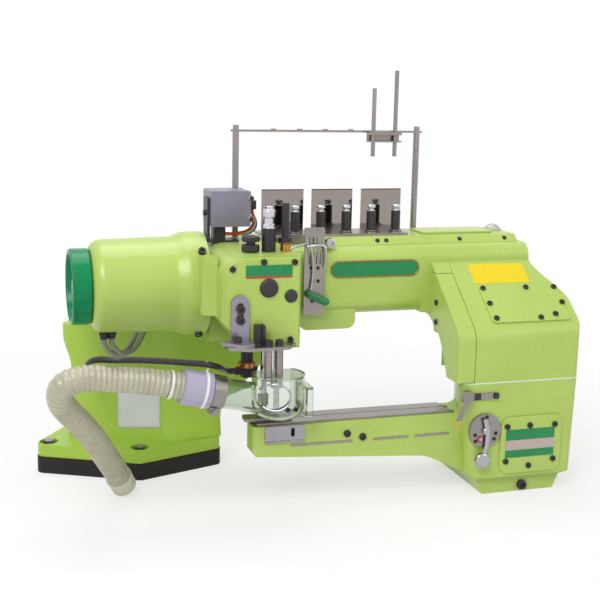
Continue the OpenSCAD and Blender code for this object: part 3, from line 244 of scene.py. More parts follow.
def seen_on(node, x, y):
    """Where places (x, y) in the photograph's frame lie on a solid: the camera's ray through
    (x - half the side, half the side - y, -focal length) meets its faces. Gives the points and the mean
    outward direction."""
    mesh = NODE[node].data
    corners = [v.co.copy() for v in mesh.vertices]
    tree = BVHTree.FromPolygons(corners, [tuple(f.vertices) for f in mesh.polygons])
    view = bpy.data.objects["camera"].matrix_world
    half = IMAGE_SIDE / 2
    rays = [Vector((px - half, half - py, -FOCAL)).normalized() for px, py in zip(x.ravel(), y.ravel())]
    hits = [tree.ray_cast(view.translation, view.to_3x3() @ ray) for ray in rays]
    if any(hit[0] is None for hit in hits):
        raise RuntimeError("a ray misses " + node)
    out = np.mean([hit[1] for hit in hits], 0)
    return np.array([hit[0] for hit in hits]).reshape(*x.shape, 3), out / np.linalg.norm(out)


def shading_group():
    """Node group that shades a CAD node smooth and keeps its sharp edges sharp."""
    name = "smooth_by_angle"
    if name in bpy.data.node_groups:
        return bpy.data.node_groups[name]
    group = bpy.data.node_groups.new(name, "GeometryNodeTree")
    for way in ("INPUT", "OUTPUT"):
        group.interface.new_socket("Geometry", in_out=way, socket_type="NodeSocketGeometry")
    start = add(group, "NodeGroupInput")
    angle = add(group, "GeometryNodeInputMeshEdgeAngle")
    sharp = add(group, "FunctionNodeCompare", {"A": angle.outputs["Unsigned Angle"], "B": SHARP_EDGE},
                operation="GREATER_THAN")
    faces = add(group, "GeometryNodeSetShadeSmooth", {"Geometry": start.outputs[0], "Shade Smooth": True})
    edges = add(group, "GeometryNodeSetShadeSmooth",
                {"Geometry": faces.outputs[0], "Selection": sharp.outputs[0], "Shade Smooth": False},
                domain="EDGE")
    add(group, "NodeGroupOutput", {0: edges.outputs[0]})
    return group


def dress(node, mat, edge_mm, segments):
    """Gives a CAD node its finish. Modifiers join its triangles, merge flat faces, round its edges, shade it
    smooth and keep flat faces level; the node's own mesh stays as it is."""
    obj = NODE[node]
    for slot in obj.material_slots:
        slot.material = mat
    weld = obj.modifiers.new("join", "WELD")
    weld.merge_threshold = 1e-5
    if edge_mm:
        flat = obj.modifiers.new("flat faces", "DECIMATE")
        flat.decimate_type = "DISSOLVE"
        flat.angle_limit = math.radians(0.4)
        edge = obj.modifiers.new("edges", "BEVEL")
        edge.width = edge_mm * MM
        edge.segments = segments
        edge.limit_method = "ANGLE"
        edge.angle_limit = SHARP_EDGE
        edge.use_clamp_overlap = True
    shade = obj.modifiers.new("shading", "NODES")
    shade.node_group = shading_group()
    if edge_mm:
        level = obj.modifiers.new("level faces", "WEIGHTED_NORMAL")
        level.keep_sharp = True


class FlatlockColours(bpy.types.PropertyGroup):
    """Colours of the machine's finishes, as sRGB hex codes."""

    enamel: bpy.props.StringProperty(
        name="Enamel", description="Lime paint on the castings", default="#b4cd66")
    enamel_deep: bpy.props.StringProperty(
        name="Enamel, deeper tone", description="Darker tone in the lime paint", default="#a9c258")
    wheel: bpy.props.StringProperty(
        name="Handwheel", description="Green of the moulded handwheel", default="#008a55")
    hose: bpy.props.StringProperty(
        name="Hose", description="Beige of the ribbed hose", default="#bdbaa4")


class FlatlockSizes(bpy.types.PropertyGroup):
    """Sizes of the pieces that the scene adds."""

    hose_radius: bpy.props.FloatProperty(
        name="Hose radius", description="Outer radius of the ribbed hose", default=16.5 * MM, unit="LENGTH")
    rib_pitch: bpy.props.FloatProperty(
        name="Rib pitch", description="Distance between the hose's ribs", default=6.6 * MM, unit="LENGTH")
    rib_height: bpy.props.FloatProperty(
        name="Rib height", description="Depth of the grooves between the ribs", default=1.5 * MM,
        unit="LENGTH")


class FLATLOCK_OT_stage(bpy.types.Operator):
    """Floor, soft lights, white surroundings and the photograph's camera"""

    bl_idname = "flatlock.stage"
    bl_label = "Stage and camera"

    def camera(self, scene):
        """The photograph's camera, fitted to edges of the castings: it looks along yaw and pitch, rolled."""
        yaw, pitch, roll = (math.radians(v) for v in (17.5, 11.0, -1.2))
        look = Vector((math.sin(yaw) * math.cos(pitch), math.cos(yaw) * math.cos(pitch), -math.sin(pitch)))
        level = Vector((math.cos(yaw), -math.sin(yaw), 0))
        above = level.cross(look)
        right = level * math.cos(roll) - above * math.sin(roll)
        up = level * math.sin(roll) + above * math.cos(roll)
        camera = bpy.data.objects.new("camera", bpy.data.cameras.new("camera"))
        scene.collection.objects.link(camera)
        camera.data.sensor_width = 36.0
        camera.data.lens = 36.0 * FOCAL / IMAGE_SIDE
        camera.data.clip_end = 50.0
        turn = Matrix((right, up, -look)).transposed().to_4x4()
        camera.matrix_world = Matrix.Translation((-0.2336, -1.576, 0.5491)) @ turn
        scene.camera = camera

    def surroundings(self, scene):
        """A world that lights the object at 0.3 and looks white."""
        world = bpy.data.worlds.new("studio")
        scene.world = world
        world.use_nodes = True
        tree = world.node_tree
        tree.nodes.clear()
        strength = add(tree, "ShaderNodeMapRange", {"Value": camera_sees(tree), "To Min": 0.3, "To Max": 1.0})
        sky = add(tree, "ShaderNodeBackground", {"Color": (1, 1, 1, 1), "Strength": strength.outputs[0]})
        add(tree, "ShaderNodeOutputWorld", {"Surface": sky.outputs[0]})

    def floor(self, scene):
        """A level grid, 8 m to the side, just under the base."""
        # Studio paper: mostly white to the camera, wholly white beyond a metre, with the shadow kept
        pale = finish("pale_studio_paper", "#fbfbfa", "#f6f6f5", 400, (0.7, 0.8), 0.0)
        tree = pale.node_tree
        paper = tree.nodes["Principled BSDF"]
        place = add(tree, "ShaderNodeTexCoord").outputs["Object"]
        off = add(tree, "ShaderNodeVectorMath", {0: place, 1: (0.2, -0.1, 0)}, operation="DISTANCE")
        far = add(tree, "ShaderNodeMapRange", {"Value": off.outputs["Value"], "From Min": 0.4,
                                               "From Max": 1.0, "To Min": 0.6, "To Max": 1.0},
                  interpolation_type="SMOOTHSTEP")
        share = add(tree, "ShaderNodeMath", {0: far.outputs[0], 1: camera_sees(tree)}, operation="MULTIPLY")
        white = add(tree, "ShaderNodeEmission", {"Color": (1, 1, 1, 1), "Strength": 1.0})
        both = add(tree, "ShaderNodeMixShader",
                   {0: share.outputs[0], 1: paper.outputs[0], 2: white.outputs[0]})
        tree.links.new(both.outputs[0], tree.nodes["Material Output"].inputs["Surface"])
        reach = np.linspace(-4.0, 4.0, 9)
        n = len(reach)
        x, y = np.meshgrid(reach, reach, indexing="ij")
        ground = np.stack([y, x, np.full_like(x, -0.0005)], -1)
        i, j = np.meshgrid(np.arange(n - 1), np.arange(n - 1), indexing="ij")
        cells = np.stack([i * n + j, i * n + j + 1, (i + 1) * n + j + 1, (i + 1) * n + j], -1)
        mesh = bpy.data.meshes.new("floor")
        mesh.from_pydata(ground.reshape(-1, 3).tolist(), [], cells.reshape(-1, 4)[:, ::-1].tolist())
        mesh.materials.append(pale)
        floor = bpy.data.objects.new("floor", mesh)
        scene.collection.objects.link(floor)

    def lamps(self, scene):
        """Three round soft lamps: place, aim, width in metres and power in watts."""
        for name, place, aim, size, power in (
                ("key", (-1.2, -1.9, 2.3), (0.1, -0.1, 0.2), 1.6, 54.0),
                ("fill", (1.9, -1.6, 1.4), (0.1, -0.1, 0.2), 1.6, 9.0),
                ("top", (0.1, 0.5, 2.4), (0.1, 0.0, 0.2), 1.8, 25.0)):
            lamp = bpy.data.lights.new(name, "AREA")
            lamp.shape = "DISK"
            lamp.size = size
            lamp.energy = power
            obj = bpy.data.objects.new(name, lamp)
            scene.collection.objects.link(obj)
            turn = (Vector(aim) - Vector(place)).to_track_quat("-Z", "Y")
            obj.matrix_world = Matrix.Translation(place) @ turn.to_matrix().to_4x4()

    def execute(self, context):
        scene = context.scene
        scene.view_settings.view_transform = "Standard"
        self.camera(scene)
        self.surroundings(scene)
        self.floor(scene)
        self.lamps(scene)
        return {"FINISHED"}


# The suction hose's route, as in the part's source: it leaves the cuff, bends back over itself and
# runs down past the base to the floor
PIPE_WAY = np.array([-math.cos(math.radians(12.5)), 0, math.sin(math.radians(12.5))])
PIPE_ROOT = np.array([228.0, -140.0, 155.0])
HOSE_START = PIPE_ROOT + 110 * PIPE_WAY
HOSE_ROUTE = np.vstack([HOSE_START, HOSE_START + 25 * PIPE_WAY, [
    (71, -141, 189), (36, -143, 194), (6, -145, 197), (-14, -145, 194), (-25, -140, 184), (-25, -129, 166),
    (-14, -114, 147), (2, -97, 126), (20, -78, 99), (37, -57, 68), (50, -40, 44), (57, -31, 30)]])
TIP_WAY = np.array([7.0, 9.0, -14.0]) / np.linalg.norm([7.0, 9.0, -14.0])
HOSE_END_ROUTE = HOSE_ROUTE[-1] + np.outer((0.4, 11.9, 23.4), TIP_WAY)
# A direction that neither route runs along
ASIDE = (0, 0.77, 0.63)


class FLATLOCK_OT_hose(bpy.types.Operator):
    """Ribbed suction hose with its collars"""

    bl_idname = "flatlock.hose"
    bl_label = "Suction hose"

    def execute(self, context):
        sizes = context.scene.flatlock_sizes
        colours = context.scene.flatlock_colours
        # Plasticised PVC hose: milky beige, a little glossy, darker in its grooves
        vinyl = finish("ribbed_pvc_hose", colours.hose, "#a5a28b", 2.5, (0.28, 0.42), 0.04, mottle_mm=25,
                       Subsurface_Weight=0.12, Coat_Weight=0.2)
        path, run = even(machine(catmull(HOSE_ROUTE, 12)), 0.55 * MM)
        wave = 0.5 + 0.5 * np.cos(2 * np.pi * run / sizes.rib_pitch)
        ends = np.clip(np.minimum(run, run[-1] - run) / (6 * MM), 0, 1)
        radius = sizes.hose_radius - sizes.rib_height * (1 - wave**0.6) * ends
        hose = skin("ribbed_hose", swept(path, radius, 40, ASIDE), vinyl, sharp=60)
        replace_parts(hose, "suction_hose")
        # Moulded PVC collar: paler than the hose and plain
        pale = finish("pale_moulded_pvc_collar", "#dcd8c8", "#cfcab6", 3, (0.25, 0.4), 0.03, mottle_mm=20)
        end_path, end_run = even(machine(catmull(HOSE_END_ROUTE, 12)), 0.5 * MM)
        step = np.where(end_run < 5 * MM, 1.0 * MM, 0.4 * MM * np.cos(2 * np.pi * end_run / (3.2 * MM)))
        cup = swept(end_path, sizes.hose_radius + step, 40, ASIDE)
        collar = skin("hose_end_collar", cup, pale, sharp=50)
        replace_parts(collar, "hose_end")
        # Moulded nylon ring: white, half glossy
        white = finish("white_moulded_nylon_ring", "#e9e8e6", "#dddcd9", 2, (0.3, 0.4), 0.02, mottle_mm=15)
        ring = [(0, 16.2), (0, 17.6), (0.5, 18), (3.2, 18), (3.7, 17.6), (3.7, 16.2), (0, 16.2)]
        hoop = turned(np.array(ring) * MM, machine(HOSE_START + 13 * PIPE_WAY), PIPE_WAY, 40)
        band = skin("hose_ring", hoop, white)
        return {"FINISHED"}


class FLATLOCK_OT_leads(bpy.types.Operator):
    """Motor cables, air hose, valve wires and thread guide wires"""

    bl_idname = "flatlock.leads"
    bl_label = "Cables, hoses and wires"

    def execute(self, context):
        def lead(name, route, radius, mat, hint):
            """A round lead on a smooth route; the radius is in millimetres."""
            path, _ = even(machine(catmull(route, 10)), 1.5 * MM)
            return skin(name, swept(path, radius * MM, 16, hint), mat, sharp=60)

        def hexagon(along, angle):
            """Six corners on the gland's nut, from 1 to 4.2 mm along it."""
            return np.where((along > 1 * MM) & (along < 4.2 * MM), 0.35 * MM * np.cos(6 * angle), 0)

        # PVC cable jacket: grey and dull, as if slightly dusty
        jacket = finish("grey_pvc_jacket", "#96928b", "#85817b", 2, (0.4, 0.55), 0.03, mottle_mm=15)
        # Soft PVC tube: black with a broad shine
        black = finish("black_pvc_tube", "#2b2729", "#221f21", 2, (0.3, 0.45), 0.03, mottle_mm=20)
        route = np.array([(44, 0, 220.3), (44, 1, 205.3), (52, 6, 192), (63, 15, 185), (78, 30, 186.5),
                          (89, 45, 195), (97, 58, 205), (104, 70, 212), (112, 84, 217), (119, 94, 216),
                          (120, 97, 213), (120, 97, 208.3)])
        shift = np.array([10.5, 2, 0])
        cables = [lead("motor_cable_%d" % (i + 1), route + i * shift, 3.5, jacket, (1, -1, 0.2))
                  for i in range(2)]
        gland = [(0, 3.7), (0, 6), (1.2, 6.6), (4, 6.6), (4.6, 5.6), (9, 5.2), (10, 4.6), (10, 3.7), (0, 3.7)]
        for i in range(2):
            nut = turned(np.array(gland) * MM, machine(route[0] + i * shift), (0, 0, -1), 24, hexagon)
            skin("motor_gland_%d" % (i + 1), nut, black)
        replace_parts(cables[0], "motor_cables")
        tube = [(198.6, -98, 183), (193.6, -98, 183), (187.6, -99.5, 184), (180, -110, 189), (168, -129, 198),
                (150, -140, 205), (110, -142, 211), (70, -145, 216), (40, -146, 218), (14, -124, 213),
                (8, -90, 190), (12, -30, 165), (26, 40, 145), (40, 84, 134), (47.6, 105.2, 130.2)]
        air = lead("air_tube", tube, 4, black, (0.3, 0.4, 1))
        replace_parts(air, "air_hose")
        wires = []
        wire = np.array([(247, 8, 378.6), (247.4, 8, 373.2), (249.2, 8, 366), (247.5, 8, 357), (240, 8, 350),
                         (227, 8, 347), (209.4, 8, 346)])
        fan = np.sin(np.pi * np.linspace(0, 1, len(wire)))[:, None] * np.array([2.8, 0, -2.4])
        jackets = (("orange", "#cf4a1c", "#bd3f15"), ("white", "#e9e6df", "#dcd8cf"),
                   ("blue", "#1660b4", "#12509a"))
        for i, (name, tone, shade) in enumerate(jackets):
            # Thin PVC jacket: plain colour, half glossy
            vinyl = finish(name + "_wire_jacket", tone, shade, 1.5, (0.3, 0.45), 0.02, mottle_mm=12)
            course = wire + i * (fan + [0, 4.3, 0])
            wires.append(lead("valve_wire_" + name, course, 2, vinyl, (0.1, 1, 0.1)))
        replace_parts(wires[0], "valve_wires")
        # Nickel-plated spring wire: bright and smooth
        bright = finish("nickel_plated_wire", "#c9c6cc", "#bcb9bf", 1.5, (0.12, 0.22), 0.01, metal=1.0)
        down = [(272, -86, 337.6), (288, -77, 341), (304, -66, 340), (311, -62, 326), (313, -60, 300),
                (310.5, -60.5, 278)]
        loop = [(305, -58, 336), (318, -62, 338), (328, -62, 336), (330, -62, 322), (329, -58, 308)]
        guide = lead("guide_wire_long", down, 1.3, bright, (0.2, 1, 0.1))
        lead("guide_wire_loop", loop, 1.3, bright, (0.2, 1, 0.1))
        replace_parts(guide, "thread_wires")
        return {"FINISHED"}


# Planes and centres that the small fittings sit on, in the machine's millimetres
HEAD_FRONT = -130.0
DIAL = np.array([531.0, -154.0, 95.0])
NOZZLE_AXIS = np.array([246.0, -134.0])
NOZZLE_RADIUS = 34.0
SLOPE_FOOT = np.array([510.0, -150.0, 228.0])
UP_SLOPE = np.array([0.0, 0.777, 0.629])
FRONT = (0, -1, 0)


def polished_nickel():
    """Polished nickel plate, the same on all fittings: mirrors the room, with faint clouds."""
    name = "polished_nickel"
    return bpy.data.materials.get(name) or finish(
        name, "#b9b6bc", "#aba8ae", 4, (0.05, 0.12), 0.004, metal=1.0)


def oiled_screw_steel():
    """Blackened and oiled steel, the same on all screws: dark with a soft shine."""
    name = "oiled_black_steel"
    return bpy.data.materials.get(name) or finish(
        name, "#332f31", "#272325", 1.0, (0.3, 0.42), 0.015, metal=0.4)


class FLATLOCK_OT_plugs(bpy.types.Operator):
    """Domed plugs in the head cover"""

    bl_idname = "flatlock.plugs"
    bl_label = "Head plugs"

    def execute(self, context):
        # Moulded rubber: near black and dull
        rubber = finish("black_rubber_plug", "#2f2a2d", "#252124", 1.4, (0.4, 0.5), 0.02)
        # Height and radius along the dome, in parts of the plug's radius
        dome = np.array([(0, 1), (0.1, 1), (0.2, 0.95), (0.28, 0.8), (0.33, 0.5), (0.35, 0.2), (0.352, 0.01)])
        caps = [turned(dome * r * MM, machine((x, HEAD_FRONT, z)), FRONT, 40)
                for x, z, r in ((233, 296, 12), (262, 285, 8.5))]
        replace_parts(skin("head_plug_domes", caps, rubber), "head_plugs")
        return {"FINISHED"}


class FLATLOCK_OT_dial(bpy.types.Operator):
    """Dark discs painted as shade for each hole of the feed dial, the dial's stop, and the feed lever"""

    bl_idname = "flatlock.dial"
    bl_label = "Feed dial and lever"

    def execute(self, context):
        polished = polished_nickel()
        # Distances are from the dial's centre, which is also the lever's pivot
        # A small dark disc, barely proud of the face, stands for each hole of the dial: painted shade, where
        # the inside of a hole is dark
        hole = np.array([(0, 2.9), (0.3, 2.7), (0.35, 2.0), (0.2, 0.05)]) * MM
        hole_shade_discs = [turned(hole, machine(DIAL + (x, 0, z)), FRONT, 20) for x, z in (
            (1.4, 19.2), (15.6, -4.3), (13.5, -12), (4.5, -16.5), (-14.2, -13.5), (-15, -5))]
        skin("dial_hole_shade_discs", hole_shade_discs, oiled_screw_steel())
        # Red enamel on a turned ring: glossy
        red = finish("red_enamel_ring", "#a8322c", "#962a25", 1.5, (0.25, 0.35), 0.01)
        stop = machine(DIAL + (-7, 0, -11))
        cap = np.array([(0, 4.4), (1.2, 4.4), (1.6, 4.0), (1.6, 0.05)]) * MM
        skin("dial_stop_ring", turned(cap, stop, FRONT, 28), red)
        bead = np.array([(1.2, 2.6), (1.7, 2.5), (2.0, 1.6), (2.05, 0.05)]) * MM
        skin("dial_stop_bead", turned(bead, stop, FRONT, 24), polished)
        way = np.array([(-3.0, 17.8), (-0.6, 9), (1.6, 0), (1.8, -12), (0.8, -22), (-3, -33)])
        proud = np.full(len(way), -3.8)
        bar, _ = even(machine(DIAL + catmull(np.stack([way[:, 0], proud, way[:, 1]], 1), 8)), 0.8 * MM)
        strip = swept(bar, 3.2 * MM, 20, FRONT)
        # The lever's round bar is pressed flat
        strip[:, :, 1] = bar[:1, None, 1] + 0.45 * (strip[:, :, 1] - bar[:1, None, 1])
        knob = [(1, 9.3), (1.8, 10.5), (6.5, 10.5), (7.6, 9.8), (8.3, 8), (8.8, 4.5), (9, 0.1)]
        hub = [(0.2, 5), (4.6, 5), (5.3, 4.4), (5.5, 0.1)]
        grids = [strip, turned(np.array(knob) * MM, machine(DIAL + (-4.9, 0, -39.7)), FRONT, 40),
                 turned(np.array(hub) * MM, machine(DIAL), FRONT, 28)]
        lever = skin("feed_lever_polished", grids, polished, body="feed_lever")
        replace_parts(lever, "feed_lever")
        return {"FINISHED"}


class FLATLOCK_OT_nozzle(bpy.types.Operator):
    """Wire guard and screws on the suction nozzle"""

    bl_idname = "flatlock.nozzle"
    bl_label = "Nozzle wire and screws"

    def execute(self, context):
        # An open oval seen from the front, bent round the nozzle: y lies on a circle round its axis
        t = np.radians(np.linspace(150, -150, 60))
        x, z = 233 + 19.5 * np.cos(t), 164 + 17 * np.sin(t)
        reach = NOZZLE_RADIUS + 1.2
        oval = np.stack([x, NOZZLE_AXIS[1] - np.sqrt(reach**2 - (x - NOZZLE_AXIS[0])**2), z], 1)
        wire = swept(machine(oval), 1.2 * MM, 12, FRONT)
        skin("nozzle_wire", wire, polished_nickel(), sharp=60)
        pin = np.array([(-0.5, 3.1), (1.8, 3.1), (2.3, 2.6), (2.3, 1.4), (1.2, 1.2), (1.2, 0.05)]) * MM
        studs = []
        for x, z in ((248.6, 148), (260, 147)):
            side = x - NOZZLE_AXIS[0]
            out = np.array([side, -math.sqrt(NOZZLE_RADIUS**2 - side**2), 0])
            studs.append(turned(pin, machine(np.array([*NOZZLE_AXIS, z]) + out), out, 24))
        skin("nozzle_screws", studs, oiled_screw_steel())
        return {"FINISHED"}


class FLATLOCK_OT_tie(bpy.types.Operator):
    """Cable tie round the hose's cuff, with its tail up"""

    bl_idname = "flatlock.tie"
    bl_label = "Cable tie"

    def execute(self, context):
        # Nylon: white, a little waxy
        white = finish("white_nylon_tie", "#ecebe8", "#e0dfdb", 2, (0.35, 0.45), 0.02)
        start = PIPE_ROOT + 81 * PIPE_WAY
        upward = np.array([PIPE_WAY[2], 0, -PIPE_WAY[0]])
        band = np.array([(0, 22.4), (0, 23.9), (3.2, 23.9), (3.2, 22.4), (0, 22.4)]) * MM
        tail = catmull([start + 1.6 * PIPE_WAY + 23 * upward, start + 30 * upward - (2, 0, 0),
                        start + 37 * upward - (6, 1, 0)], 8)
        tied = [turned(band, machine(start), PIPE_WAY, 40), swept(machine(tail), 1.1 * MM, 12, (0, 1, 0))]
        skin("cable_tie", tied, white)
        return {"FINISHED"}


class FLATLOCK_OT_screws(bpy.types.Operator):
    """Boss beside the thread plate, and the screws of the top cover and the thread plate"""

    bl_idname = "flatlock.screws"
    bl_label = "Boss and screws"

    def execute(self, context):
        dark = oiled_screw_steel()
        boss = [(0, 6.5), (8.5, 6.5), (9.6, 6.1), (10, 5.3), (10, 3.1), (7.5, 3.0), (7.5, 0.05)]
        cup = turned(np.array(boss) * MM, machine((342, -38, 338)), FRONT, 32)
        skin("guide_boss", cup, polished_nickel())
        head = np.array([(-0.4, 3.3), (0.8, 3.3), (1.1, 2.9), (1.1, 0.05)]) * MM
        heads = [turned(head, machine((x, -25, 337)), (0, -1, 1), 24) for x in (417, 430, 541, 611)]
        skin("top_cover_screws", heads, dark)
        x = np.array([[311.0, 318.0, 312.0, 318.0, 312.0]])
        y = np.array([[268.0, 268.0, 281.0, 281.0, 301.0]])
        spots, out = seen_on("thread_plate", x, y)
        small = np.array([(-0.3, 2.4), (0.9, 2.4), (1.3, 2.0), (1.3, 0.05)]) * MM
        heads = [turned(small, spot, out, 20) for spot in spots[0]]
        skin("thread_plate_screws", heads, dark)
        return {"FINISHED"}


class FLATLOCK_OT_fields(bpy.types.Operator):
    """Plain fields of colour on the slope, the arm and the pedestal"""

    bl_idname = "flatlock.fields"
    bl_label = "Plain fields"

    def execute(self, context):
        # Printed film: flat yellow with a faint sheen
        yellow = finish("yellow_printed_film", "#f0d40e", "#e6c90b", 3, (0.35, 0.45), 0.005)
        place = SLOPE_FOOT + (72, 0, 0) + 104.5 * UP_SLOPE
        film = slab(place, (1, 0, 0), UP_SLOPE, 84, 36, 1.5, 0.25)
        skin("slope_field", film, yellow, sharp=30)
        # Copper-coloured foil: a thin bright rim
        copper = finish("copper_foil_edge", "#b5764f", "#a3673f", 2, (0.2, 0.3), 0.005, metal=0.8)
        edge = slab((405.5, -51, 302.5), (1, 0, 0), (0, 0, 1), 127, 21, 10.4, 0.1)[0]
        rim, _ = even(np.vstack([edge, edge[:1]]), 1 * MM)
        skin("arm_badge_edge", swept(rim, 0.8 * MM, 10, FRONT), copper, sharp=60)
        # Coated paper: off-white, matt
        pale = finish("pale_coated_paper", "#d9dbdb", "#cfd2d0", 6, (0.4, 0.5), 0.01)
        x, y = np.meshgrid(np.linspace(118, 160, 12), np.linspace(391, 428, 12), indexing="xy")
        spots, out = seen_on("pedestal", x, y)
        field = skin("pedestal_field", spots + 0.5 * MM * out, pale, sheet=True)
        thick = field.modifiers.new("thickness", "SOLIDIFY")
        thick.thickness = 0.3 * MM
        return {"FINISHED"}


def span(low, high):
    """Two corners in the machine's millimetres, as a box of the part's frame where a finish changes."""
    return machine(low), machine(high)


class FLATLOCK_OT_finishes(bpy.types.Operator):
    """Finishes of the castings, covers and metal parts"""

    bl_idname = "flatlock.finishes"
    bl_label = "Finishes of the solids"

    def execute(self, context):
        colours = context.scene.flatlock_colours
        # Tone, metallic and roughness of two finishes that parts of other nodes have
        chrome, soot = ("#cfccd2", 1.0, 0.1), ("#2f2b2e", 0.1, 0.38)
        # Sprayed enamel on cast iron: satin gloss with faint orange peel about 2 mm across
        lime = dict(tone=colours.enamel, shade=colours.enamel_deep, grain_mm=2.2, rough=(0.34, 0.42),
                    bump_mm=0.02, mottle_mm=90, Coat_Weight=0.25, Coat_Roughness=0.2)
        enamel = finish("lime_enamel", **lime)
        # The same enamel with a pale gasket edge at the cover's seam
        gasket = finish("lime_enamel_bed", **lime, zones=[
            (*span((500, -160, 159.2), (690, 110, 160.9)), "#dfe3d6", 0.0, 0.5)])
        # Painted light on the pedestal: the machine's lime enamel, deeper and more saturated for its
        # different light
        pedestal_painted_light_enamel = finish("lime_enamel_pedestal_painted_light", "#a9cb42", "#9dc036", 2.2, (0.36, 0.46), 0.02, mottle_mm=90,
                        Coat_Weight=0.2, Coat_Roughness=0.25)
        # Ground steel: fine lines along the machine, drawn coarser than real so that they show
        ground = dict(tone="#a39c99", shade="#8e8784", grain_mm=1.2, bump_mm=0.01, metal=1.0)
        steel = finish("ground_steel", **ground, rough=(0.25, 0.38), stretch=(0.06, 1, 1))
        # Ground steel with mirror-polished plates that have dark top edges
        plates = finish("steel_and_mirror", **ground, rough=(0.25, 0.38), zones=[
            (*span((260, 44.8, 340), (490, 46.8, 412)), "#9a918d", 1.0, 0.05),
            (*span((260, 44, 400.6), (490, 48, 412)), "#3a3538", 0.3, 0.4)])
        # Ground steel shelf with blackened blocks and screws
        shelf = finish("steel_plate_black_blocks", **ground, rough=(0.25, 0.38), zones=[
            (*span((165, -175, 227.1), (275, -118, 262)), *soot)])
        # Ground steel finger with a dark band, a dark screw and a yellowish clear tip
        finger = finish("steel_finger_dark_band", **ground, rough=(0.2, 0.32), zones=[
            (*span((513, -170, 120), (523, -140, 160)), *soot),
            (*span((480, -175, 60), (524, -140, 113)), "#b4ac4a", 0.0, 0.2),
            (*span((541, -175, 138.5), (549, -140, 146.5)), *soot)])
        # Mirror-polished sheet steel: clear reflections
        mirror = finish("mirror_polished_steel", "#a6a3a9", "#98959b", 6, (0.04, 0.09), 0.003, metal=1.0)
        # Nickel plate on the bars and needles: bright, slightly clouded
        bright = finish("nickel_plate", "#cfccd2", "#bfbcc2", 3, (0.08, 0.16), 0.005, metal=1.0)
        # Blackened steel: dark with a soft shine; posts of it carry chrome or brass parts
        blackened = dict(tone="#3a3538", shade="#2c282b", grain_mm=1.2, bump_mm=0.02, metal=0.3)
        black = finish("blackened_steel", **blackened, rough=(0.35, 0.5))
        regulator = finish("black_and_chrome_regulator", **blackened, rough=(0.3, 0.45), zones=[
            (*span((225, -110, 366.5), (257, -70, 420)), *chrome)])
        guide = finish("black_guide_brass_nut", **blackened, rough=(0.35, 0.5), zones=[
            (*span((245, -112, 330), (285, -70, 347)), "#c08a4a", 1.0, 0.22)])
        # Blackened elbow: dark and satin, with a bright copper ring
        copper_ring = (*span((195, -120, 187.6), (235, -80, 194.4)), "#b9764a", 1.0, 0.22)
        fitting = finish("black_fitting_copper_ring", "#332e31", "#272326", 1.2, (0.35, 0.5), 0.02, metal=0.2,
                         zones=[copper_ring])
        # Moulded black plastic: fine grain, half glossy; the tension knobs have chrome caps
        moulded = dict(tone="#2e2a2d", shade="#242023", grain_mm=1.0, rough=(0.3, 0.42), bump_mm=0.02)
        plastic = finish("black_moulded_plastic", **moulded)
        caps = finish("black_knob_chrome_cap", **moulded, zones=[
            (*span((250, -15, 375.4), (480, 25, 402)), *chrome)])
        # Satin cast aluminium: soft grey shine; blackened bracket and connector, chrome corner screws
        box_parts = [
            (*span((170, -20, 330), (262, 62, 356.8)), *soot),
            (*span((170, -20, 330), (186.8, 62, 425)), *soot),
            (*span((242.2, 4, 376), (262, 20, 394)), *soot),
            (*span((225, -12, 356.9), (255, -4.1, 412)), *chrome)]
        valve = finish("satin_cast_aluminium", "#9a95a6", "#878293", 1.5, (0.35, 0.48), 0.03, metal=0.7,
                       zones=box_parts)
        # Satin-plated steel: broad grey shine, with blackened screws
        bracket_screws = [
            (*span((178, -146, 240), (213, -134.1, 295)), *soot),
            (*span((182, -152, 231.1), (203, -134.2, 242)), *soot)]
        bracket = finish("satin_plated_steel", "#a29daa", "#908b98", 1.5, (0.3, 0.42), 0.02, metal=0.8,
                         zones=bracket_screws)
        # Printed plates: flat green, with a red stripe on the head's and a grey-pink band on the side's
        printed = finish("printed_plates", "#0b8a4b", "#0a7d43", 1.5, (0.25, 0.35), 0.01, zones=[
            (*span((200, -133, 308), (266, -129, 311.6)), "#b23a34", 0.0, 0.3),
            (*span((560, -156, 64.6), (640, -152.5, 78.4)), "#b9aaa2", 0.0, 0.35)])
        # Clear acrylic: see-through and faintly green in its thickness
        clear = finish("clear_acrylic", "#e8eee6", "#dde5da", 8, (0.03, 0.09), 0.02, Transmission_Weight=1.0,
                       IOR=1.49)
        # Clouded sight glass: milky, glossy
        milky = finish("milky_sight_glass", "#dfe7d6", "#d3dccb", 6, (0.08, 0.16), 0.02,
                       Transmission_Weight=0.35, Coat_Weight=0.3)
        # Moulded rubber plinth: dark and dull, with a grain that shows
        plinth = finish("dark_moulded_rubber", "#24211d", "#1c1917", 1.6, (0.55, 0.7), 0.06,
                        Specular_IOR_Level=0.3)
        # Moulded green plastic wheel: even colour, soft gloss
        wheel = finish("green_moulded_plastic", colours.wheel, "#007b4a", 1.6, (0.22, 0.3), 0.01,
                       Specular_IOR_Level=0.25)
        # Soft PVC cuff: grey-violet, dull gloss
        cuff = finish("soft_grey_violet_pvc", "#b0aac1", "#a39db4", 2, (0.35, 0.5), 0.03)
        # Green plastic sleeve: glossy
        guard = finish("green_plastic_guard", "#128350", "#0f7445", 1.4, (0.2, 0.32), 0.01)
        # Belt rubber: black and matt
        belt = finish("toothed_belt_rubber", "#242124", "#1c191c", 1.2, (0.6, 0.75), 0.04)

        castings = ("motor_housing", "arm_casting", "head_cover", "top_cover", "filler_lid", "column_cover",
                    "belt_cover", "access_plate", "side_plate", "oil_pan")
        fixtures = ("base_bolts", "bed_strips", "presser_foot", "feed_dial", "thread_plate", "thread_stand",
                    "spool_pins", "hose_clamp")
        drive = ("main_shaft", "lower_shaft", "drive_pulley", "driven_pulley")
        knobs = ["tension_knob_%d" % (i + 1) for i in range(6)]
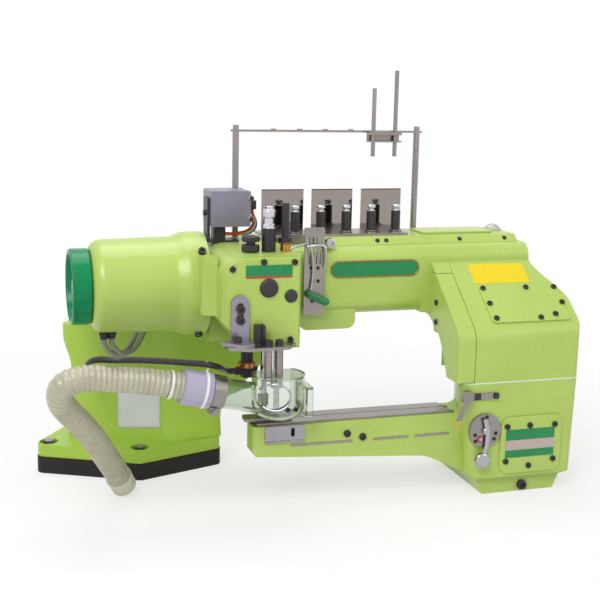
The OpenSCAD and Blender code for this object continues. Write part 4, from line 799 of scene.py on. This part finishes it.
        # Finish, edge rounding in millimetres, its segments, and the nodes that get them
        rows = (
            (pedestal_painted_light_enamel, 1.0, 3, ["pedestal"]),
            (mirror, 0.15, 2, ["looper_cover"]),
            (enamel, 1.0, 3, castings),
            (gasket, 1.0, 3, ["bed_casting"]),
            (plinth, 1.0, 2, ["base_plinth"]),
            (wheel, 0.6, 2, ["handwheel"]),
            (steel, 0.25, 2, fixtures),
            (steel, 0.3, 2, drive),
            (bright, 0.15, 2, ["needle_bar", "needles", "presser_bar"]),
            (valve, 0.4, 2, ["valve_box"]),
            (bracket, 0.5, 2, ["nozzle_bracket"]),
            (shelf, 0.25, 2, ["nozzle_plate"]),
            (finger, 0.3, 2, ["guide_finger"]),
            (plates, 0.2, 2, ["tension_bed"]),
            (regulator, 0.2, 2, ["pressure_regulator"]),
            (guide, 0.2, 2, ["lift_guide"]),
            (black, 0.2, 2, ["panel_screws"]),
            (plastic, 0.25, 2, ["pressure_knob"]),
            (milky, 0.3, 2, ["oil_sight"]),
            (clear, 0.3, 2, ["suction_nozzle"]),
            (printed, 0.2, 2, ["badge_plates"]),
            (caps, 0.25, 2, knobs),
            (fitting, 0.3, 2, ["air_fitting"]),
            (cuff, 0.4, 2, ["hose_cuff"]),
            (guard, 0.0, 0, ["thread_guard"]),
            (belt, 0.0, 0, ["timing_belt"]))
        for mat, edge_mm, segments, nodes in rows:
            for node in nodes:
                dress(node, mat, edge_mm, segments)
        return {"FINISHED"}


class FLATLOCK_PT_panel(bpy.types.Panel):
    """Lists the steps that dress the machine"""

    bl_idname = "FLATLOCK_PT_panel"
    bl_label = "Flatlock machine"
    bl_space_type = "VIEW_3D"
    bl_region_type = "UI"
    bl_category = "Flatlock"

    def draw(self, context):
        for operator in OPERATORS:
            self.layout.operator(operator.bl_idname)
        for group in (context.scene.flatlock_colours, context.scene.flatlock_sizes):
            for key in group.__annotations__:
                self.layout.prop(group, key)


OPERATORS = (FLATLOCK_OT_stage, FLATLOCK_OT_hose, FLATLOCK_OT_leads, FLATLOCK_OT_plugs, FLATLOCK_OT_dial,
             FLATLOCK_OT_nozzle, FLATLOCK_OT_tie, FLATLOCK_OT_screws, FLATLOCK_OT_fields,
             FLATLOCK_OT_finishes)
CLASSES = (FlatlockColours, FlatlockSizes, *OPERATORS, FLATLOCK_PT_panel)


def register():
    for cls in CLASSES:
        bpy.utils.register_class(cls)
    bpy.types.Scene.flatlock_colours = bpy.props.PointerProperty(type=FlatlockColours)
    bpy.types.Scene.flatlock_sizes = bpy.props.PointerProperty(type=FlatlockSizes)


def unregister():
    del bpy.types.Scene.flatlock_sizes
    del bpy.types.Scene.flatlock_colours
    for cls in reversed(CLASSES):
        bpy.utils.unregister_class(cls)


def main():
    register()
    for operator in OPERATORS:
        group, name = operator.bl_idname.split(".")
        getattr(getattr(bpy.ops, group), name)()


if __name__ == "__main__":
    main()
